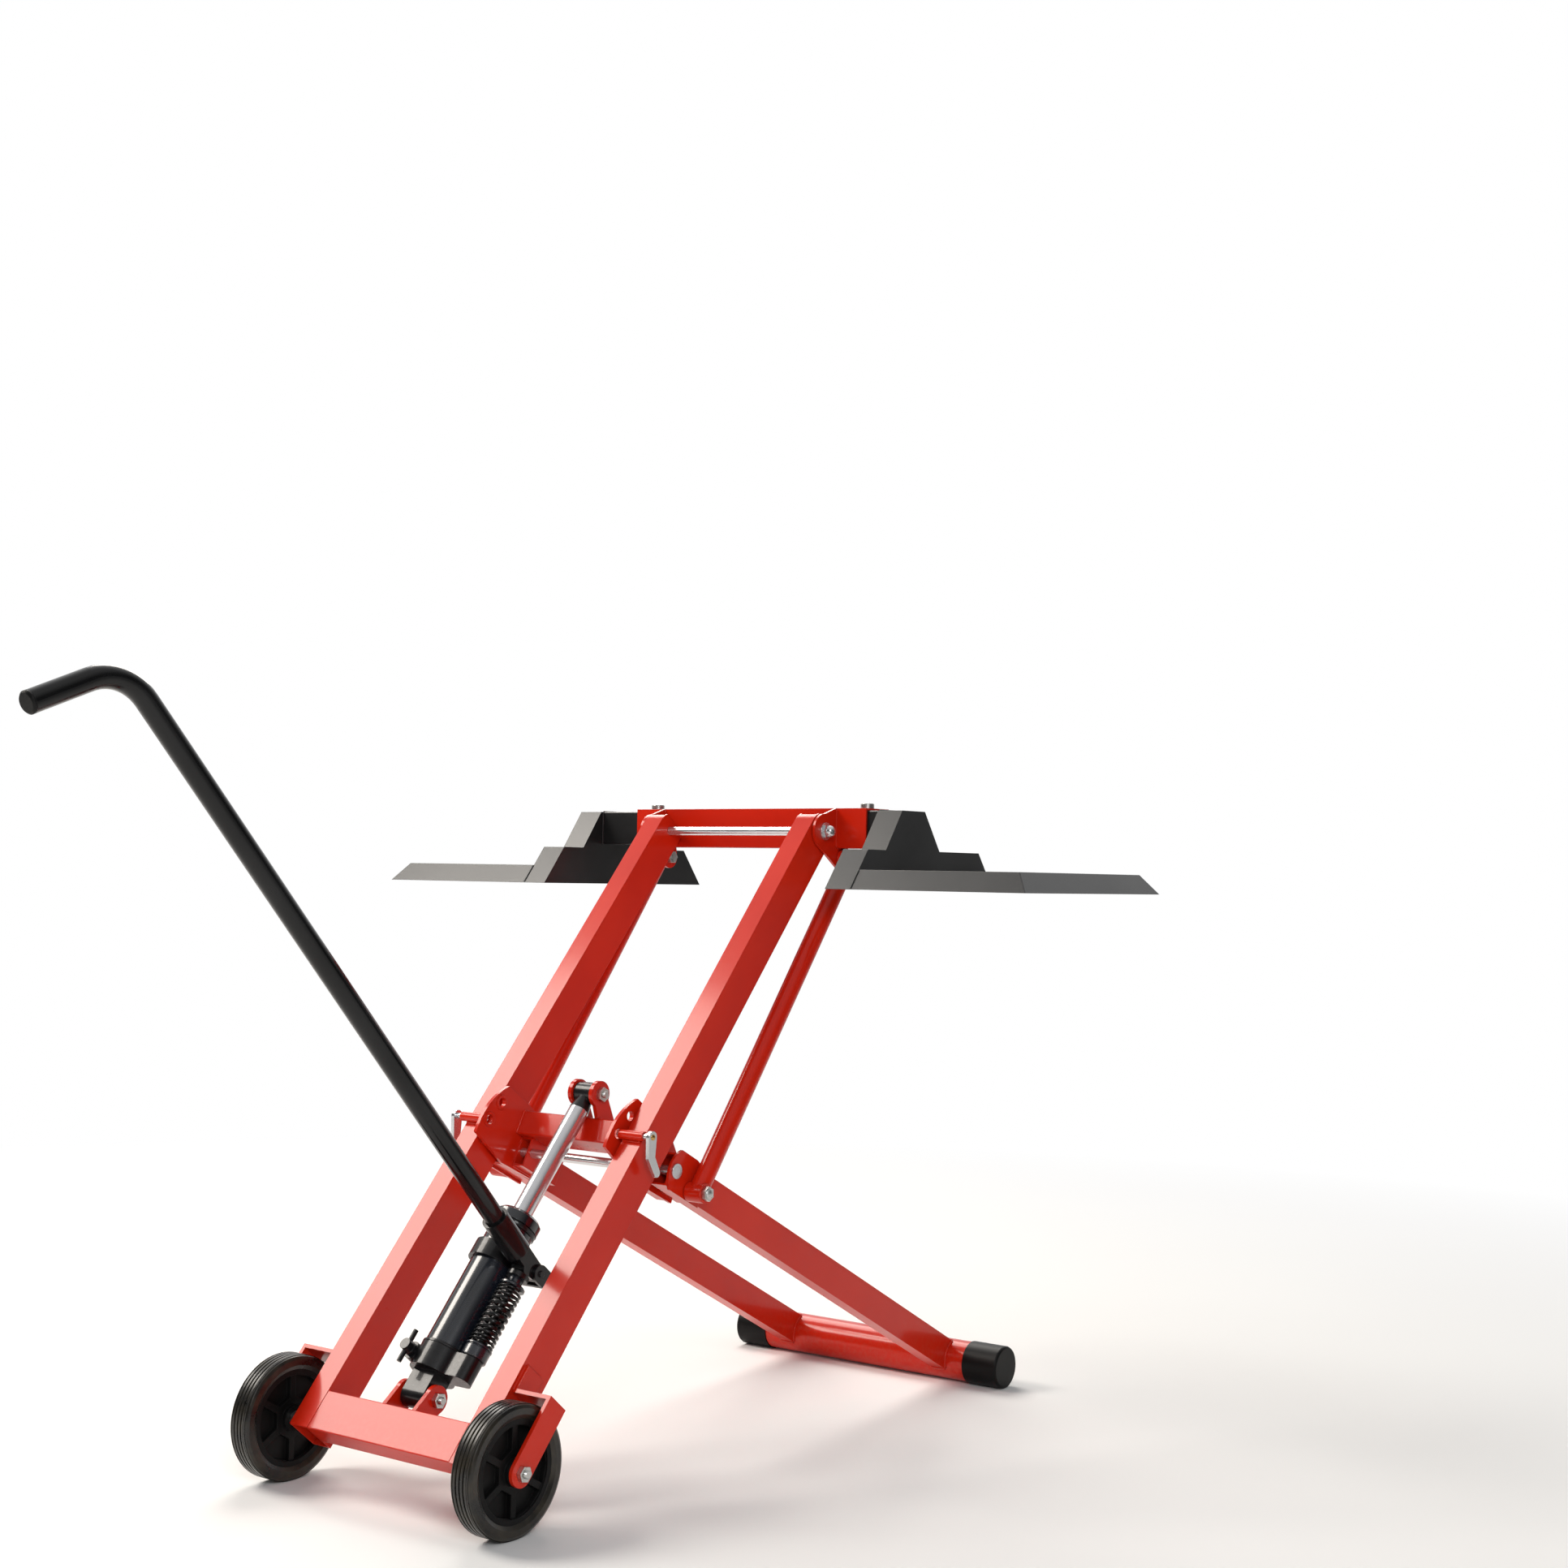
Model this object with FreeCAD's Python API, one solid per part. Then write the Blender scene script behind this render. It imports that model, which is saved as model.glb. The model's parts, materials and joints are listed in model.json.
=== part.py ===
import FreeCAD, Part
import os, math
from FreeCAD import Vector as V

# Scissor lift for the front of a ride-on mower, in millimetres, shown raised.
# Two rails lean on small wheels, a pair of legs crosses them at a pivot, and a
# hydraulic jack between the rails pushes the legs apart. A beam at the top
# carries two sliding wheel trays, which two link bars keep level.
# +X is to the right, +Y runs from the wheels to the foot, +Z is up.

# ---- main frame ----
wheel_r = 75.0
rail_angle = 49.6
axle_lead = 4.0
rail_in = 119.0
rail_wide = 31.0
rail_deep = 50.0
rail_wall = 2.5
rail_tail = 15.0
top_u = 960.0
rail_nose = 14.0
pivot_u = 434.0
pivot_v = -48.0
running = 0.06
seat_gap = 0.3
overrun = 5.0

# ---- cross member and cylinder ears ----
cross_high = 50.0
cross_deep = 34.0
cross_wall = 2.5
ear_u = 62.0
ear_in = 22.0
ear_thick = 6.0
ear_r = 17.0
base_bolt_r = 5.0
bolt_head_high = 6.5
bolt_head_r = 9.5

# ---- wheels ----
wheel_x = 185.0
wheel_wide = 32.0
tyre_in_r = 58.0
tyre_round = 5.0
groove_wide = 2.4
groove_deep = 2.0
groove_pitch = 5.6
groove_count = 5
rim_wide = 26.0
rim_band = 6.5
hub_r = 16.0
hub_wide = 33.0
rim_web = 7.0
spoke_count = 6
pocket_in_r = 25.0
spoke_half = 4.0
axle_r = 6.0
spacer_r = 9.5

# ---- wheel brackets ----
strap_wide = 32.0
strap_thick = 5.0
strap_in = 202.5
strap_cross_u = 83.0
flange_long = 34.0

# ---- pivot group ----
lug_in = 114.0
lug_thick = 5.0
lug_r = 22.0
lug_spread = 30.0
lug_top_v = 15.0
shaft_r = 6.0
guide_u = 430.0
guide_r = 6.0
guide_bore_r = 4.2
guide_in = 117.5
guide_out = 156.0
pin_r = 4.0
pin_slack = 0.5
lever_thick = 5.0
lever_long = 52.0
lever_wide = 15.0
lever_hub_r = 7.5
lever_elbow_share = 0.45
lever_lean_share = 0.35
lever_end_share = 0.62
lever_hang_share = 0.80
lever_mid_share = 0.40
lever_tip_share = 0.36
pin_stroke = 8.0

# ---- legs ----
leg_angle = 27.19
leg_long = 747.0
leg_in = 126.0
leg_wide = 25.0
leg_deep = 43.0
leg_wall = 2.5
leg_nose = 6.0
housing_in = 88.0
housing_wide = 20.0
housing_long = 60.0
housing_wall = 2.5
plate_in = 108.0
plate_thick = 5.0
spacer_near = 32.0
spacer_far = 70.0
spacer_half = 19.0
cheek_thick = 4.0
cheek_long = 62.0
cheek_low = 25.0
cheek_high = 28.0
crossbar_near = -22.0
crossbar_far = 20.0
crossbar_low = 18.0
crossbar_high = 50.0
crossbar_wall = 3.0
ram_u = -32.0
ram_v = 79.0
ram_ear_in = 15.0
ram_ear_thick = 6.0
ram_ear_r = 17.0
lock_arc_r = 92.0
foot_r = 29.0
foot_wall = 3.0
foot_half = 181.0
cap_r = 30.5
cap_long = 57.0
cap_wall = 3.0
cap_grip = 22.0
lock_hole_angle = 22.0
lock_low_angle = 16.0
lock_high_angle = 14.0
lock_hole_r = 6.2
lock_rim_r = 9.7
lock_rim_high = 1.5

# ---- link bars ----
low_u = 36.2
low_v = -12.7
high_y = 40.0
high_z = -37.0
link_x = 169.0
link_r = 12.5
link_wall = 2.0
link_bolt_r = 5.0
link_slot = 4.2
link_nut_r = 6.0

# ---- head ----
beam_side = 55.0
beam_wall = 3.0
beam_half = 205.0
beam_y = 54.0
beam_z = 5.0
head_plate_in = 151.5
head_plate_thick = 4.0
head_top_r = 24.0
head_low_r = 16.0
clamp_x = 188.0
clamp_r = 5.0
washer_r = 12.0
washer_thick = 2.5
nut_r = 9.5
nut_high = 11.0

# ---- trays ----
arm_side = 48.0
arm_wall = 3.0
arm_long = 165.0
tray_right_x = 225.0
tray_left_x = 275.0
bracket_wide = 40.0
bracket_wall = 3.0
tray_low_z = -78.0
tray_step_z = -25.0
tray_front = -95.0
tray_rear = 262.0
step_run = 41.0
saddle_y0 = 26.0
saddle_y1 = 81.0
saddle_run = 38.0
right_span = 263.0
left_span = 279.0
strip_high = 26.0
strip_thick = 4.0

# ---- hydraulic jack ----
jack_body_r = 28.0
jack_bore_r = 24.0
base_low_u = 28.0
base_high_u = 58.0
base_r = 30.0
tongue_half = 18.0
tongue_r = 15.0
tube_top_u = 236.0
head_top_u = 251.5
head_r = 30.5
head_bore_r = 23.5
head_round = 4.0
ram_r = 13.0
ram_bottom_u = 192.0
ram_top_u = 414.0
eye_half = 14.0
eye_r = 14.0
pump_x = 45.5
pump_v = -2.0
pump_base_r = 14.0
barrel_r = 7.5
barrel_high = 40.0
flange_high = 5.0
piston_r = 5.0
piston_low = 14.0
piston_cap_r = 14.0
piston_cap_high = 6.0
piston_top_u = 176.0
wire_r = 1.5
coil_r = 11.5
coil_turns = 12
fulcrum_u = 190.0
fulcrum_v = -20.0
fulcrum_r = 4.0
clamp_ring_r = 33.0
clamp_ring_half = 11.0
fork_in = 11.0
fork_thick = 4.5
fork_round = 11.0
socket_r = 16.5
socket_long = 60.0
socket_start = 40.0
cam_r = 9.0
valve_x = -24.0
valve_u = 43.0
valve_r = 7.0
valve_top_v = 42.0
valve_bar_r = 3.0
valve_bar_half = 21.0
gland_r = 11.0
gland_high = 5.0

# ---- handle ----
handle_r = 12.5
handle_wall = 2.0
handle_bend_y = -436.8
handle_bend_z = 940.4
handle_grip_reach = 106.8
handle_grip_drop = 44.1
handle_bend_r = 62.0
handle_inset = 46.0
handle_fit = 0.25

# ---- helpers ----

def box(x0, x1, u0, u1, v0, v1):
    return Part.makeBox(x1 - x0, u1 - u0, v1 - v0, V(x0, u0, v0))


def bar_x(r, x0, x1, u=0, v=0):
    return Part.makeCylinder(r, x1 - x0, V(x0, u, v), V(1, 0, 0))


def bar_u(r, u0, u1, x=0, v=0):
    return Part.makeCylinder(r, u1 - u0, V(x, u0, v), V(0, 1, 0))


def bar_v(r, v0, v1, x=0, u=0):
    return Part.makeCylinder(r, v1 - v0, V(x, u, v0), V(0, 0, 1))


def slab(points, x0, x1):
    # a flat plate lying in the u-v plane, cut to the outline given
    ring = [V(x0, u, v) for u, v in points]
    return Part.Face(Part.makePolygon(ring + ring[:1])).extrude(V(x1 - x0, 0, 0))


def taper(c0, r0, c1, r1, x0, x1):
    # the plate round two circles and their outer tangents
    du, dv = c1[0] - c0[0], c1[1] - c0[1]
    gap = math.hypot(du, dv)
    lean = math.acos((r0 - r1) / gap)
    head = math.atan2(dv, du)
    ends = []
    for turn, c, r in ((lean, c0, r0), (lean, c1, r1), (-lean, c1, r1), (-lean, c0, r0)):
        ends.append((c[0] + r * math.cos(head + turn), c[1] + r * math.sin(head + turn)))
    plate = slab(ends, x0, x1)
    return fused(plate, bar_x(r0, x0, x1, *c0), bar_x(r1, x0, x1, *c1))


def fused(first, *rest):
    shape = first
    for piece in rest:
        shape = shape.fuse(piece)
    return shape.removeSplitter()


def tube_x(x0, x1, u0, u1, v0, v1, wall):
    hollow = box(x0 - overrun, x1 + overrun, u0 + wall, u1 - wall, v0 + wall, v1 - wall)
    return box(x0, x1, u0, u1, v0, v1).cut(hollow)


def tube_u(x0, x1, u0, u1, v0, v1, wall):
    hollow = box(x0 + wall, x1 - wall, u0 - overrun, u1 + overrun, v0 + wall, v1 - wall)
    return box(x0, x1, u0, u1, v0, v1).cut(hollow)


def hex_x(r, x0, x1, u=0, v=0):
    # a hexagon bar along x, r to its corners
    pts = []
    for k in range(6):
        a = math.radians(60 * k)
        pts.append((u + r * math.cos(a), v + r * math.sin(a)))
    return slab(pts, x0, x1)


def domed_nut(r, x0, high, side, u=0, v=0):
    # hexagon base with a round cap over the thread
    base = high / 2
    low, top = sorted((x0, x0 + side * base))
    body = hex_x(r, low, top, u, v)
    cap_r = r * math.cos(math.radians(30))
    ball = Part.makeSphere(cap_r, V(x0 + side * base, u, v))
    far = x0 + side * (base + cap_r)
    keep = box(min(x0 + side * base, far), max(x0 + side * base, far),
               u - r, u + r, v - r, v + r)
    return fused(body, ball.common(keep))


def frame_at(y, z, degrees):
    return FreeCAD.Placement(V(0, y, z), FreeCAD.Rotation(V(1, 0, 0), degrees))


def place(shape, frame):
    moved = shape.copy()
    moved.Placement = frame.multiply(shape.Placement)
    return moved


def mirrored(shape):
    return shape.mirror(V(0, 0, 0), V(1, 0, 0))


def pair(shape):
    return Part.makeCompound([mirrored(shape), shape])


# ---- where the frames lie ----

rail_turn = math.radians(rail_angle)
leg_turn = math.radians(leg_angle)
rail_dir = V(0, math.cos(rail_turn), math.sin(rail_turn))
rail_up = V(0, -math.sin(rail_turn), math.cos(rail_turn))
rail_zero = V(0, 0, wheel_r) - rail_up * axle_lead


def on_rail(u, v):
    return rail_zero + rail_dir * u + rail_up * v


pivot_at = on_rail(pivot_u, pivot_v)
top_at = on_rail(top_u, 0)
ear_at = on_rail(ear_u, 0)
leg_dir = V(0, math.cos(leg_turn), -math.sin(leg_turn))
leg_up = V(0, math.sin(leg_turn), math.cos(leg_turn))


def on_leg(u, v):
    return pivot_at + leg_dir * u + leg_up * v


ram_at = on_leg(ram_u, ram_v)
low_at = on_leg(low_u, low_v)
high_at = top_at + V(0, high_y, high_z)
foot_at = on_leg(leg_long, 0)
guide_at = on_rail(guide_u, rail_deep / 2 + guide_r)


def heading(a, b):
    return math.degrees(math.atan2(b.z - a.z, b.y - a.y))


RAIL = frame_at(rail_zero.y, rail_zero.z, rail_angle)
LEG = frame_at(pivot_at.y, pivot_at.z, -leg_angle)
HEAD = frame_at(top_at.y, top_at.z, 0)
JACK = frame_at(ear_at.y, ear_at.z, heading(ear_at, ram_at))
LINK = frame_at(low_at.y, low_at.z, heading(low_at, high_at))
AXLE = frame_at(0, wheel_r, 0)

rail_out = rail_in + rail_wide
rail_half = rail_deep / 2
leg_out = leg_in + leg_wide
leg_half = leg_deep / 2
cap_end = foot_half + cap_long
parts = {}


def add(name, shape, frame):
    parts[name] = place(shape, frame)


# ---- rails: box tubes, round-nosed at the top shaft ----

nose_cut = box(rail_in - overrun, rail_out + overrun, top_u, top_u + rail_deep,
               -rail_deep, rail_deep).cut(bar_x(rail_half, rail_in - overrun, rail_out + overrun, top_u))
rail = tube_u(rail_in, rail_out, -rail_tail, top_u + rail_nose, -rail_half, rail_half, rail_wall)
rail = rail.cut(nose_cut)
rail = rail.cut(bar_x(shaft_r + running, rail_in - overrun, rail_out + overrun, top_u))
rail = rail.cut(bar_x(axle_r + running, rail_in - overrun, rail_out + overrun, 0, axle_lead))
add("rail_right", rail, RAIL)
add("rail_left", mirrored(rail), RAIL)

cross_u1 = -rail_tail + cross_high
cross_v0 = rail_half - cross_deep
add("cross_member", tube_x(-rail_in, rail_in, -rail_tail, cross_u1, cross_v0, rail_half,
                           cross_wall), RAIL)

# ---- ears for the jack's foot, welded on the cross member ----

ear_base = [(cross_u1, cross_v0), (cross_u1, rail_half - cross_wall),
            (ear_u, ear_r), (ear_u, -ear_r)]
ear = fused(slab(ear_base, ear_in, ear_in + ear_thick),
            bar_x(ear_r, ear_in, ear_in + ear_thick, ear_u))
ear = ear.cut(bar_x(base_bolt_r + running, ear_in - overrun, ear_in + ear_thick + overrun, ear_u))
ear = ear.cut(box(0, rail_in, -rail_tail, cross_u1, -rail_deep, rail_deep))
add("cylinder_ears", pair(ear), RAIL)
ear_out = ear_in + ear_thick
bolt = fused(bar_x(base_bolt_r, -ear_out - bolt_head_high, ear_out + bolt_head_high, ear_u),
             hex_x(bolt_head_r, ear_out, ear_out + bolt_head_high, ear_u),
             hex_x(bolt_head_r, -ear_out - bolt_head_high, -ear_out, ear_u))
base_bolt = bolt

# ---- lugs that hang the legs' pivot under the rails ----

lug_line = [(pivot_u - lug_r, pivot_v), (pivot_u - lug_spread, lug_top_v),
            (pivot_u + lug_spread, lug_top_v), (pivot_u + lug_r, pivot_v)]
lug = fused(slab(lug_line, lug_in, rail_in), bar_x(lug_r, lug_in, rail_in, pivot_u, pivot_v))
lug = lug.cut(bar_x(shaft_r + running, lug_in - overrun, rail_in + overrun, pivot_u, pivot_v))
add("pivot_lugs", pair(lug), RAIL)
shaft_end = leg_out + cheek_thick + washer_thick
pivot_shaft = bar_x(shaft_r, -shaft_end, shaft_end, pivot_u, pivot_v)
clip = bar_x(bolt_head_r, leg_out + cheek_thick + seat_gap, shaft_end, pivot_u, pivot_v)
clip = clip.cut(bar_x(shaft_r, leg_out, shaft_end + overrun, pivot_u, pivot_v))
add("pivot_shaft", Part.makeCompound([pivot_shaft, mirrored(clip), clip]), RAIL)

# ---- lock pins in their guide tubes on the rails' front ----

guide_v = rail_half + guide_r
guide = bar_x(guide_r, guide_in, guide_out, guide_u, guide_v)
guide = guide.cut(bar_x(guide_bore_r, guide_in - overrun, guide_out + overrun, guide_u, guide_v))
add("lock_guides", pair(guide), RAIL)
lever_x0 = guide_out + pin_slack + pin_stroke
lever_x1 = lever_x0 + lever_thick
tip_x = plate_in + plate_thick + pin_slack
pin = bar_x(pin_r, tip_x, lever_x1, guide_u, guide_v)
reach = lever_long - lever_hub_r
elbow = (guide_u - reach * lever_elbow_share, guide_v - reach * lever_lean_share)
end = (guide_u - reach * lever_end_share, guide_v - reach * lever_hang_share)
elbow_r = lever_wide * lever_mid_share
lever = fused(pin, taper((guide_u, guide_v), lever_hub_r, elbow, elbow_r, lever_x0, lever_x1),
              taper(elbow, elbow_r, end, lever_wide * lever_tip_share, lever_x0, lever_x1))
add("lock_pin_right", lever, RAIL)
add("lock_pin_left", mirrored(lever), RAIL)

# ---- wheel forks: one bent flat bar each ----

strap_out = strap_in + strap_thick
strap_low = axle_lead - strap_wide / 2
strap_high = axle_lead + strap_wide / 2
cross_top = strap_cross_u + strap_thick
fork = fused(box(rail_out, rail_out + strap_thick, strap_cross_u, strap_cross_u + flange_long,
                 strap_low, strap_high),
             box(rail_out, strap_out, strap_cross_u, cross_top, strap_low, strap_high),
             box(strap_in, strap_out, 0, cross_top, strap_low, strap_high),
             bar_x(strap_wide / 2, strap_in, strap_out, 0, axle_lead))
fork = fork.cut(bar_x(axle_r + running, strap_in - overrun, strap_out + overrun, 0, axle_lead))
add("wheel_bracket_right", fork, RAIL)
add("wheel_bracket_left", mirrored(fork), RAIL)

axle = fused(bar_x(axle_r, rail_in - bolt_head_high, strap_out + bolt_head_high, 0, axle_lead),
             hex_x(bolt_head_r, strap_out, strap_out + bolt_head_high, 0, axle_lead),
             hex_x(bolt_head_r, rail_in - bolt_head_high, rail_in, 0, axle_lead))
add("frame_bolts", Part.makeCompound([base_bolt, mirrored(axle), axle]), RAIL)
spacer = bar_x(spacer_r, rail_out, wheel_x - hub_wide / 2 - seat_gap, 0, axle_lead)
spacer = spacer.cut(bar_x(axle_r + running, rail_out - overrun, wheel_x, 0, axle_lead))
add("axle_spacers", pair(spacer), RAIL)

# ---- wheels ----


def turned(points):
    ring = [V(x, 0, r) for x, r in points]
    face = Part.Face(Part.makePolygon(ring + ring[:1]))
    return face.revolve(V(0, 0, 0), V(1, 0, 0), 360)


half = wheel_wide / 2
rim_half = rim_wide / 2
outline = [(-half + 2 * tyre_round, tyre_in_r), (-rim_half, tyre_in_r), (-half, tyre_in_r + tyre_round),
           (-half, wheel_r - tyre_round), (-half + tyre_round / 3, wheel_r - tyre_round / 3)]
shoulder = half - tyre_round
outline.append((-shoulder, wheel_r))
first = -groove_pitch * (groove_count - 1) / 2
for k in range(groove_count):
    mid = first + k * groove_pitch
    outline += [(mid - groove_wide / 2, wheel_r), (mid - groove_wide / 4, wheel_r - groove_deep),
                (mid + groove_wide / 4, wheel_r - groove_deep), (mid + groove_wide / 2, wheel_r)]
outline += [(shoulder, wheel_r), (half - tyre_round / 3, wheel_r - tyre_round / 3),
            (half, wheel_r - tyre_round), (half, tyre_in_r + tyre_round), (rim_half, tyre_in_r)]
tyre = turned(outline)

band_in = tyre_in_r - rim_band
rim = turned([(-rim_half, band_in), (-rim_half, tyre_in_r), (rim_half, tyre_in_r),
              (rim_half, band_in)])
disc = turned([(-rim_half + overrun / 2, hub_r), (-rim_half + overrun / 2, band_in),
               (rim_half - overrun / 2, band_in), (rim_half - overrun / 2, hub_r)])
step = 360 / spoke_count
for k in range(spoke_count):
    a = math.radians(step * k)
    side = math.radians(step / 2)
    pts = []
    for turn, r in ((side, band_in), (0, band_in), (-side, band_in)):
        off = spoke_half / r
        lean = max(-side + off, min(side - off, turn))
        pts.append((r * math.cos(a + lean), r * math.sin(a + lean)))
    low = spoke_half / pocket_in_r
    pts.append((pocket_in_r * math.cos(a - side + low), pocket_in_r * math.sin(a - side + low)))
    pts.append((pocket_in_r * math.cos(a + side - low), pocket_in_r * math.sin(a + side - low)))
    disc = disc.cut(slab(pts, rim_web / 2, rim_half))
    disc = disc.cut(slab(pts, -rim_half, -rim_web / 2))
hub = bar_x(hub_r, -hub_wide / 2, hub_wide / 2)
rim = fused(rim, disc, hub).cut(bar_x(axle_r + running, -hub_wide, hub_wide))
for side_name, side in (("right", 1), ("left", -1)):
    shift = FreeCAD.Placement(V(side * wheel_x, 0, wheel_r), FreeCAD.Rotation())
    parts["wheel_tyre_" + side_name] = place(tyre, shift)
    parts["wheel_rim_" + side_name] = place(rim, shift)

# ---- legs: box tubes coped onto the foot tube ----

foot_cut = bar_x(foot_r, -cap_end, cap_end, leg_long)
leg = tube_u(leg_in, leg_out, -leg_nose, leg_long, -leg_half, leg_half, leg_wall)
leg = leg.cut(foot_cut)
leg = leg.cut(bar_x(shaft_r + running, leg_in - overrun, leg_out + overrun))
leg = leg.cut(bar_x(link_bolt_r + running, leg_in + leg_wide / 2, leg_out + overrun, low_u, low_v))
add("leg_right", leg, LEG)
add("leg_left", mirrored(leg), LEG)

foot = bar_x(foot_r, -foot_half - cap_grip, foot_half + cap_grip, leg_long)
foot = foot.cut(bar_x(foot_r - foot_wall, -cap_end, cap_end, leg_long))
foot = foot.cut(pair(bar_x(foot_r, foot_half, cap_end, leg_long).cut(
    bar_x(foot_r - foot_wall / 2, foot_half - overrun, cap_end, leg_long))))
add("foot_tube", foot, LEG)
cap_face = [(foot_half, foot_r - foot_wall / 2), (foot_half, cap_r), (cap_end - cap_wall, cap_r),
            (cap_end - cap_wall / 3, cap_r - cap_wall / 3), (cap_end, cap_r - cap_wall), (cap_end, 0),
            (cap_end - cap_wall, 0), (cap_end - cap_wall, foot_r - foot_wall / 2)]
ring = [V(x, leg_long, r) for x, r in cap_face]
cap = Part.Face(Part.makePolygon(ring + ring[:1])).revolve(V(0, leg_long, 0), V(1, 0, 0), 360)
add("foot_caps", pair(cap), LEG)

# ---- lock plates: quarter discs with two pin holes ----

hole_r = math.hypot(guide_at.y - pivot_at.y, guide_at.z - pivot_at.z)
hole_turn = math.atan2((guide_at - pivot_at).dot(leg_up), (guide_at - pivot_at).dot(leg_dir))


def on_disc(r, turn):
    return r * math.cos(turn), r * math.sin(turn)


plate_out = plate_in + plate_thick
arc_low = hole_turn + math.radians(lock_low_angle)
arc_high = hole_turn - math.radians(lock_hole_angle + lock_high_angle)
disc_points = [on_disc(lock_arc_r, arc_low + (arc_high - arc_low) * k / 10) for k in range(11)]
edge = Part.Arc(*[V(plate_in, *on_disc(lock_arc_r, a)) for a in
                  (arc_low, (arc_low + arc_high) / 2, arc_high)]).toShape()
rest = [disc_points[-1], (crossbar_near + overrun, crossbar_high + leg_wall * 4),
        (crossbar_far, crossbar_high), (housing_long, leg_half), (housing_long, -leg_half - leg_wall),
        (crossbar_near - leg_nose, -leg_half - leg_wall * 2), disc_points[0]]
sides = [Part.makeLine(V(plate_in, *a), V(plate_in, *b)) for a, b in zip(rest, rest[1:])]
plate = Part.Face(Part.Wire([edge] + sides)).extrude(V(plate_thick, 0, 0))
rims = []
for turn in (hole_turn, hole_turn - math.radians(lock_hole_angle)):
    at = on_disc(hole_r, turn)
    rims.append(bar_x(lock_rim_r, plate_in - lock_rim_high, plate_out, *at))
plate = fused(plate, *rims)
for turn in (hole_turn, hole_turn - math.radians(lock_hole_angle)):
    at = on_disc(hole_r, turn)
    plate = plate.cut(bar_x(lock_hole_r, plate_in - overrun, plate_out + overrun, *at))
plate = plate.cut(bar_x(shaft_r + running, plate_in - overrun, plate_out + overrun))
add("lock_plate_right", plate, LEG)
add("lock_plate_left", mirrored(plate), LEG)

housing = tube_u(housing_in, plate_in, crossbar_near + leg_nose * 2, housing_long, -leg_half,
                 crossbar_low, housing_wall)
housing = housing.cut(bar_x(shaft_r + running, housing_in - overrun, plate_in + overrun))
add("pivot_housings", pair(housing), LEG)
filler = tube_u(plate_out, leg_in, spacer_near, spacer_far, -spacer_half, spacer_half, housing_wall)
add("leg_spacers", pair(filler), LEG)

cheek_line = [(0, -cheek_low), (0, cheek_high), (cheek_long - cheek_high, cheek_high),
              (cheek_long, leg_half), (cheek_long, -cheek_low)]
nose = Part.Face(Part.Wire([Part.Arc(V(leg_out, 0, cheek_high), V(leg_out, -leg_nose * 2, 0),
                                     V(leg_out, 0, -cheek_low)).toShape(),
                            Part.makeLine(V(leg_out, 0, -cheek_low), V(leg_out, 0, cheek_high))]))
cheek = fused(slab(cheek_line, leg_out, leg_out + cheek_thick), nose.extrude(V(cheek_thick, 0, 0)))
cheek = cheek.cut(bar_x(shaft_r + running, leg_out - overrun, leg_out + cheek_thick + overrun))
cheek = cheek.cut(bar_x(link_bolt_r + running, leg_out - overrun, leg_out + cheek_thick + overrun,
                        low_u, low_v))
add("leg_cheeks", pair(cheek), LEG)

crossbar = tube_x(-plate_in, plate_in, crossbar_near, crossbar_far, crossbar_low, crossbar_high,
                  crossbar_wall)
add("crossbar", crossbar, LEG)

ram_ear_out = ram_ear_in + ram_ear_thick
ear_line = [(ram_u - ram_ear_r, ram_v), (ram_u + ram_ear_r, ram_v),
            (crossbar_far, crossbar_high), (crossbar_near, crossbar_high)]
ram_ear = fused(slab(ear_line, ram_ear_in, ram_ear_out),
                bar_x(ram_ear_r, ram_ear_in, ram_ear_out, ram_u, ram_v))
ram_ear = ram_ear.cut(bar_x(base_bolt_r + running, ram_ear_in - overrun, ram_ear_out + overrun,
                            ram_u, ram_v))
add("ram_ears", pair(ram_ear), LEG)
bolt = fused(bar_x(base_bolt_r, -ram_ear_out - bolt_head_high, ram_ear_out + bolt_head_high,
                   ram_u, ram_v),
             hex_x(bolt_head_r, ram_ear_out, ram_ear_out + bolt_head_high, ram_u, ram_v),
             hex_x(bolt_head_r, -ram_ear_out - bolt_head_high, -ram_ear_out, ram_u, ram_v))
add("ram_bolt", bolt, LEG)

# ---- link bars: round tubes with a cross sleeve at each end ----

link_in = link_x - link_r
link_out = link_x + link_r
bolt_low = fused(bar_x(link_bolt_r, leg_out - leg_wall - bolt_head_high, link_out + bolt_head_high,
                       low_u, low_v),
                 bar_x(link_nut_r, leg_out - leg_wall - bolt_head_high, leg_out - leg_wall,
                       low_u, low_v),
                 hex_x(bolt_head_r, link_out + seat_gap, link_out + bolt_head_high, low_u, low_v))
add("link_bolts_lower", pair(bolt_low), LEG)

link_long = (high_at - low_at).Length
link = bar_u(link_r, 0, link_long, link_x).cut(
    bar_u(link_r - link_wall, -overrun, link_long + overrun, link_x))
ends = []
for u, bore in ((0, link_bolt_r + running), (link_long, link_bolt_r + link_slot)):
    link = link.cut(bar_x(link_r, link_in - overrun, link_out + overrun, u))
    ring = bar_x(link_r, link_in, link_out, u)
    ends.append(ring.cut(bar_x(bore, link_in - overrun, link_out + overrun, u)))
link = fused(link, *ends)
add("link_right", link, LINK)
add("link_left", mirrored(link), LINK)

# ---- head: beam, side plates and top shaft ----

side = beam_side / 2
beam = tube_x(-beam_half, beam_half, beam_y - side, beam_y + side, beam_z - side, beam_z + side,
              beam_wall)
beam_top = beam_z + side
for x in (-clamp_x, clamp_x):
    beam = beam.cut(bar_v(clamp_r + running, beam_top - beam_wall - overrun, beam_top + overrun, x, beam_y))
add("head_beam", beam, HEAD)

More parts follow.
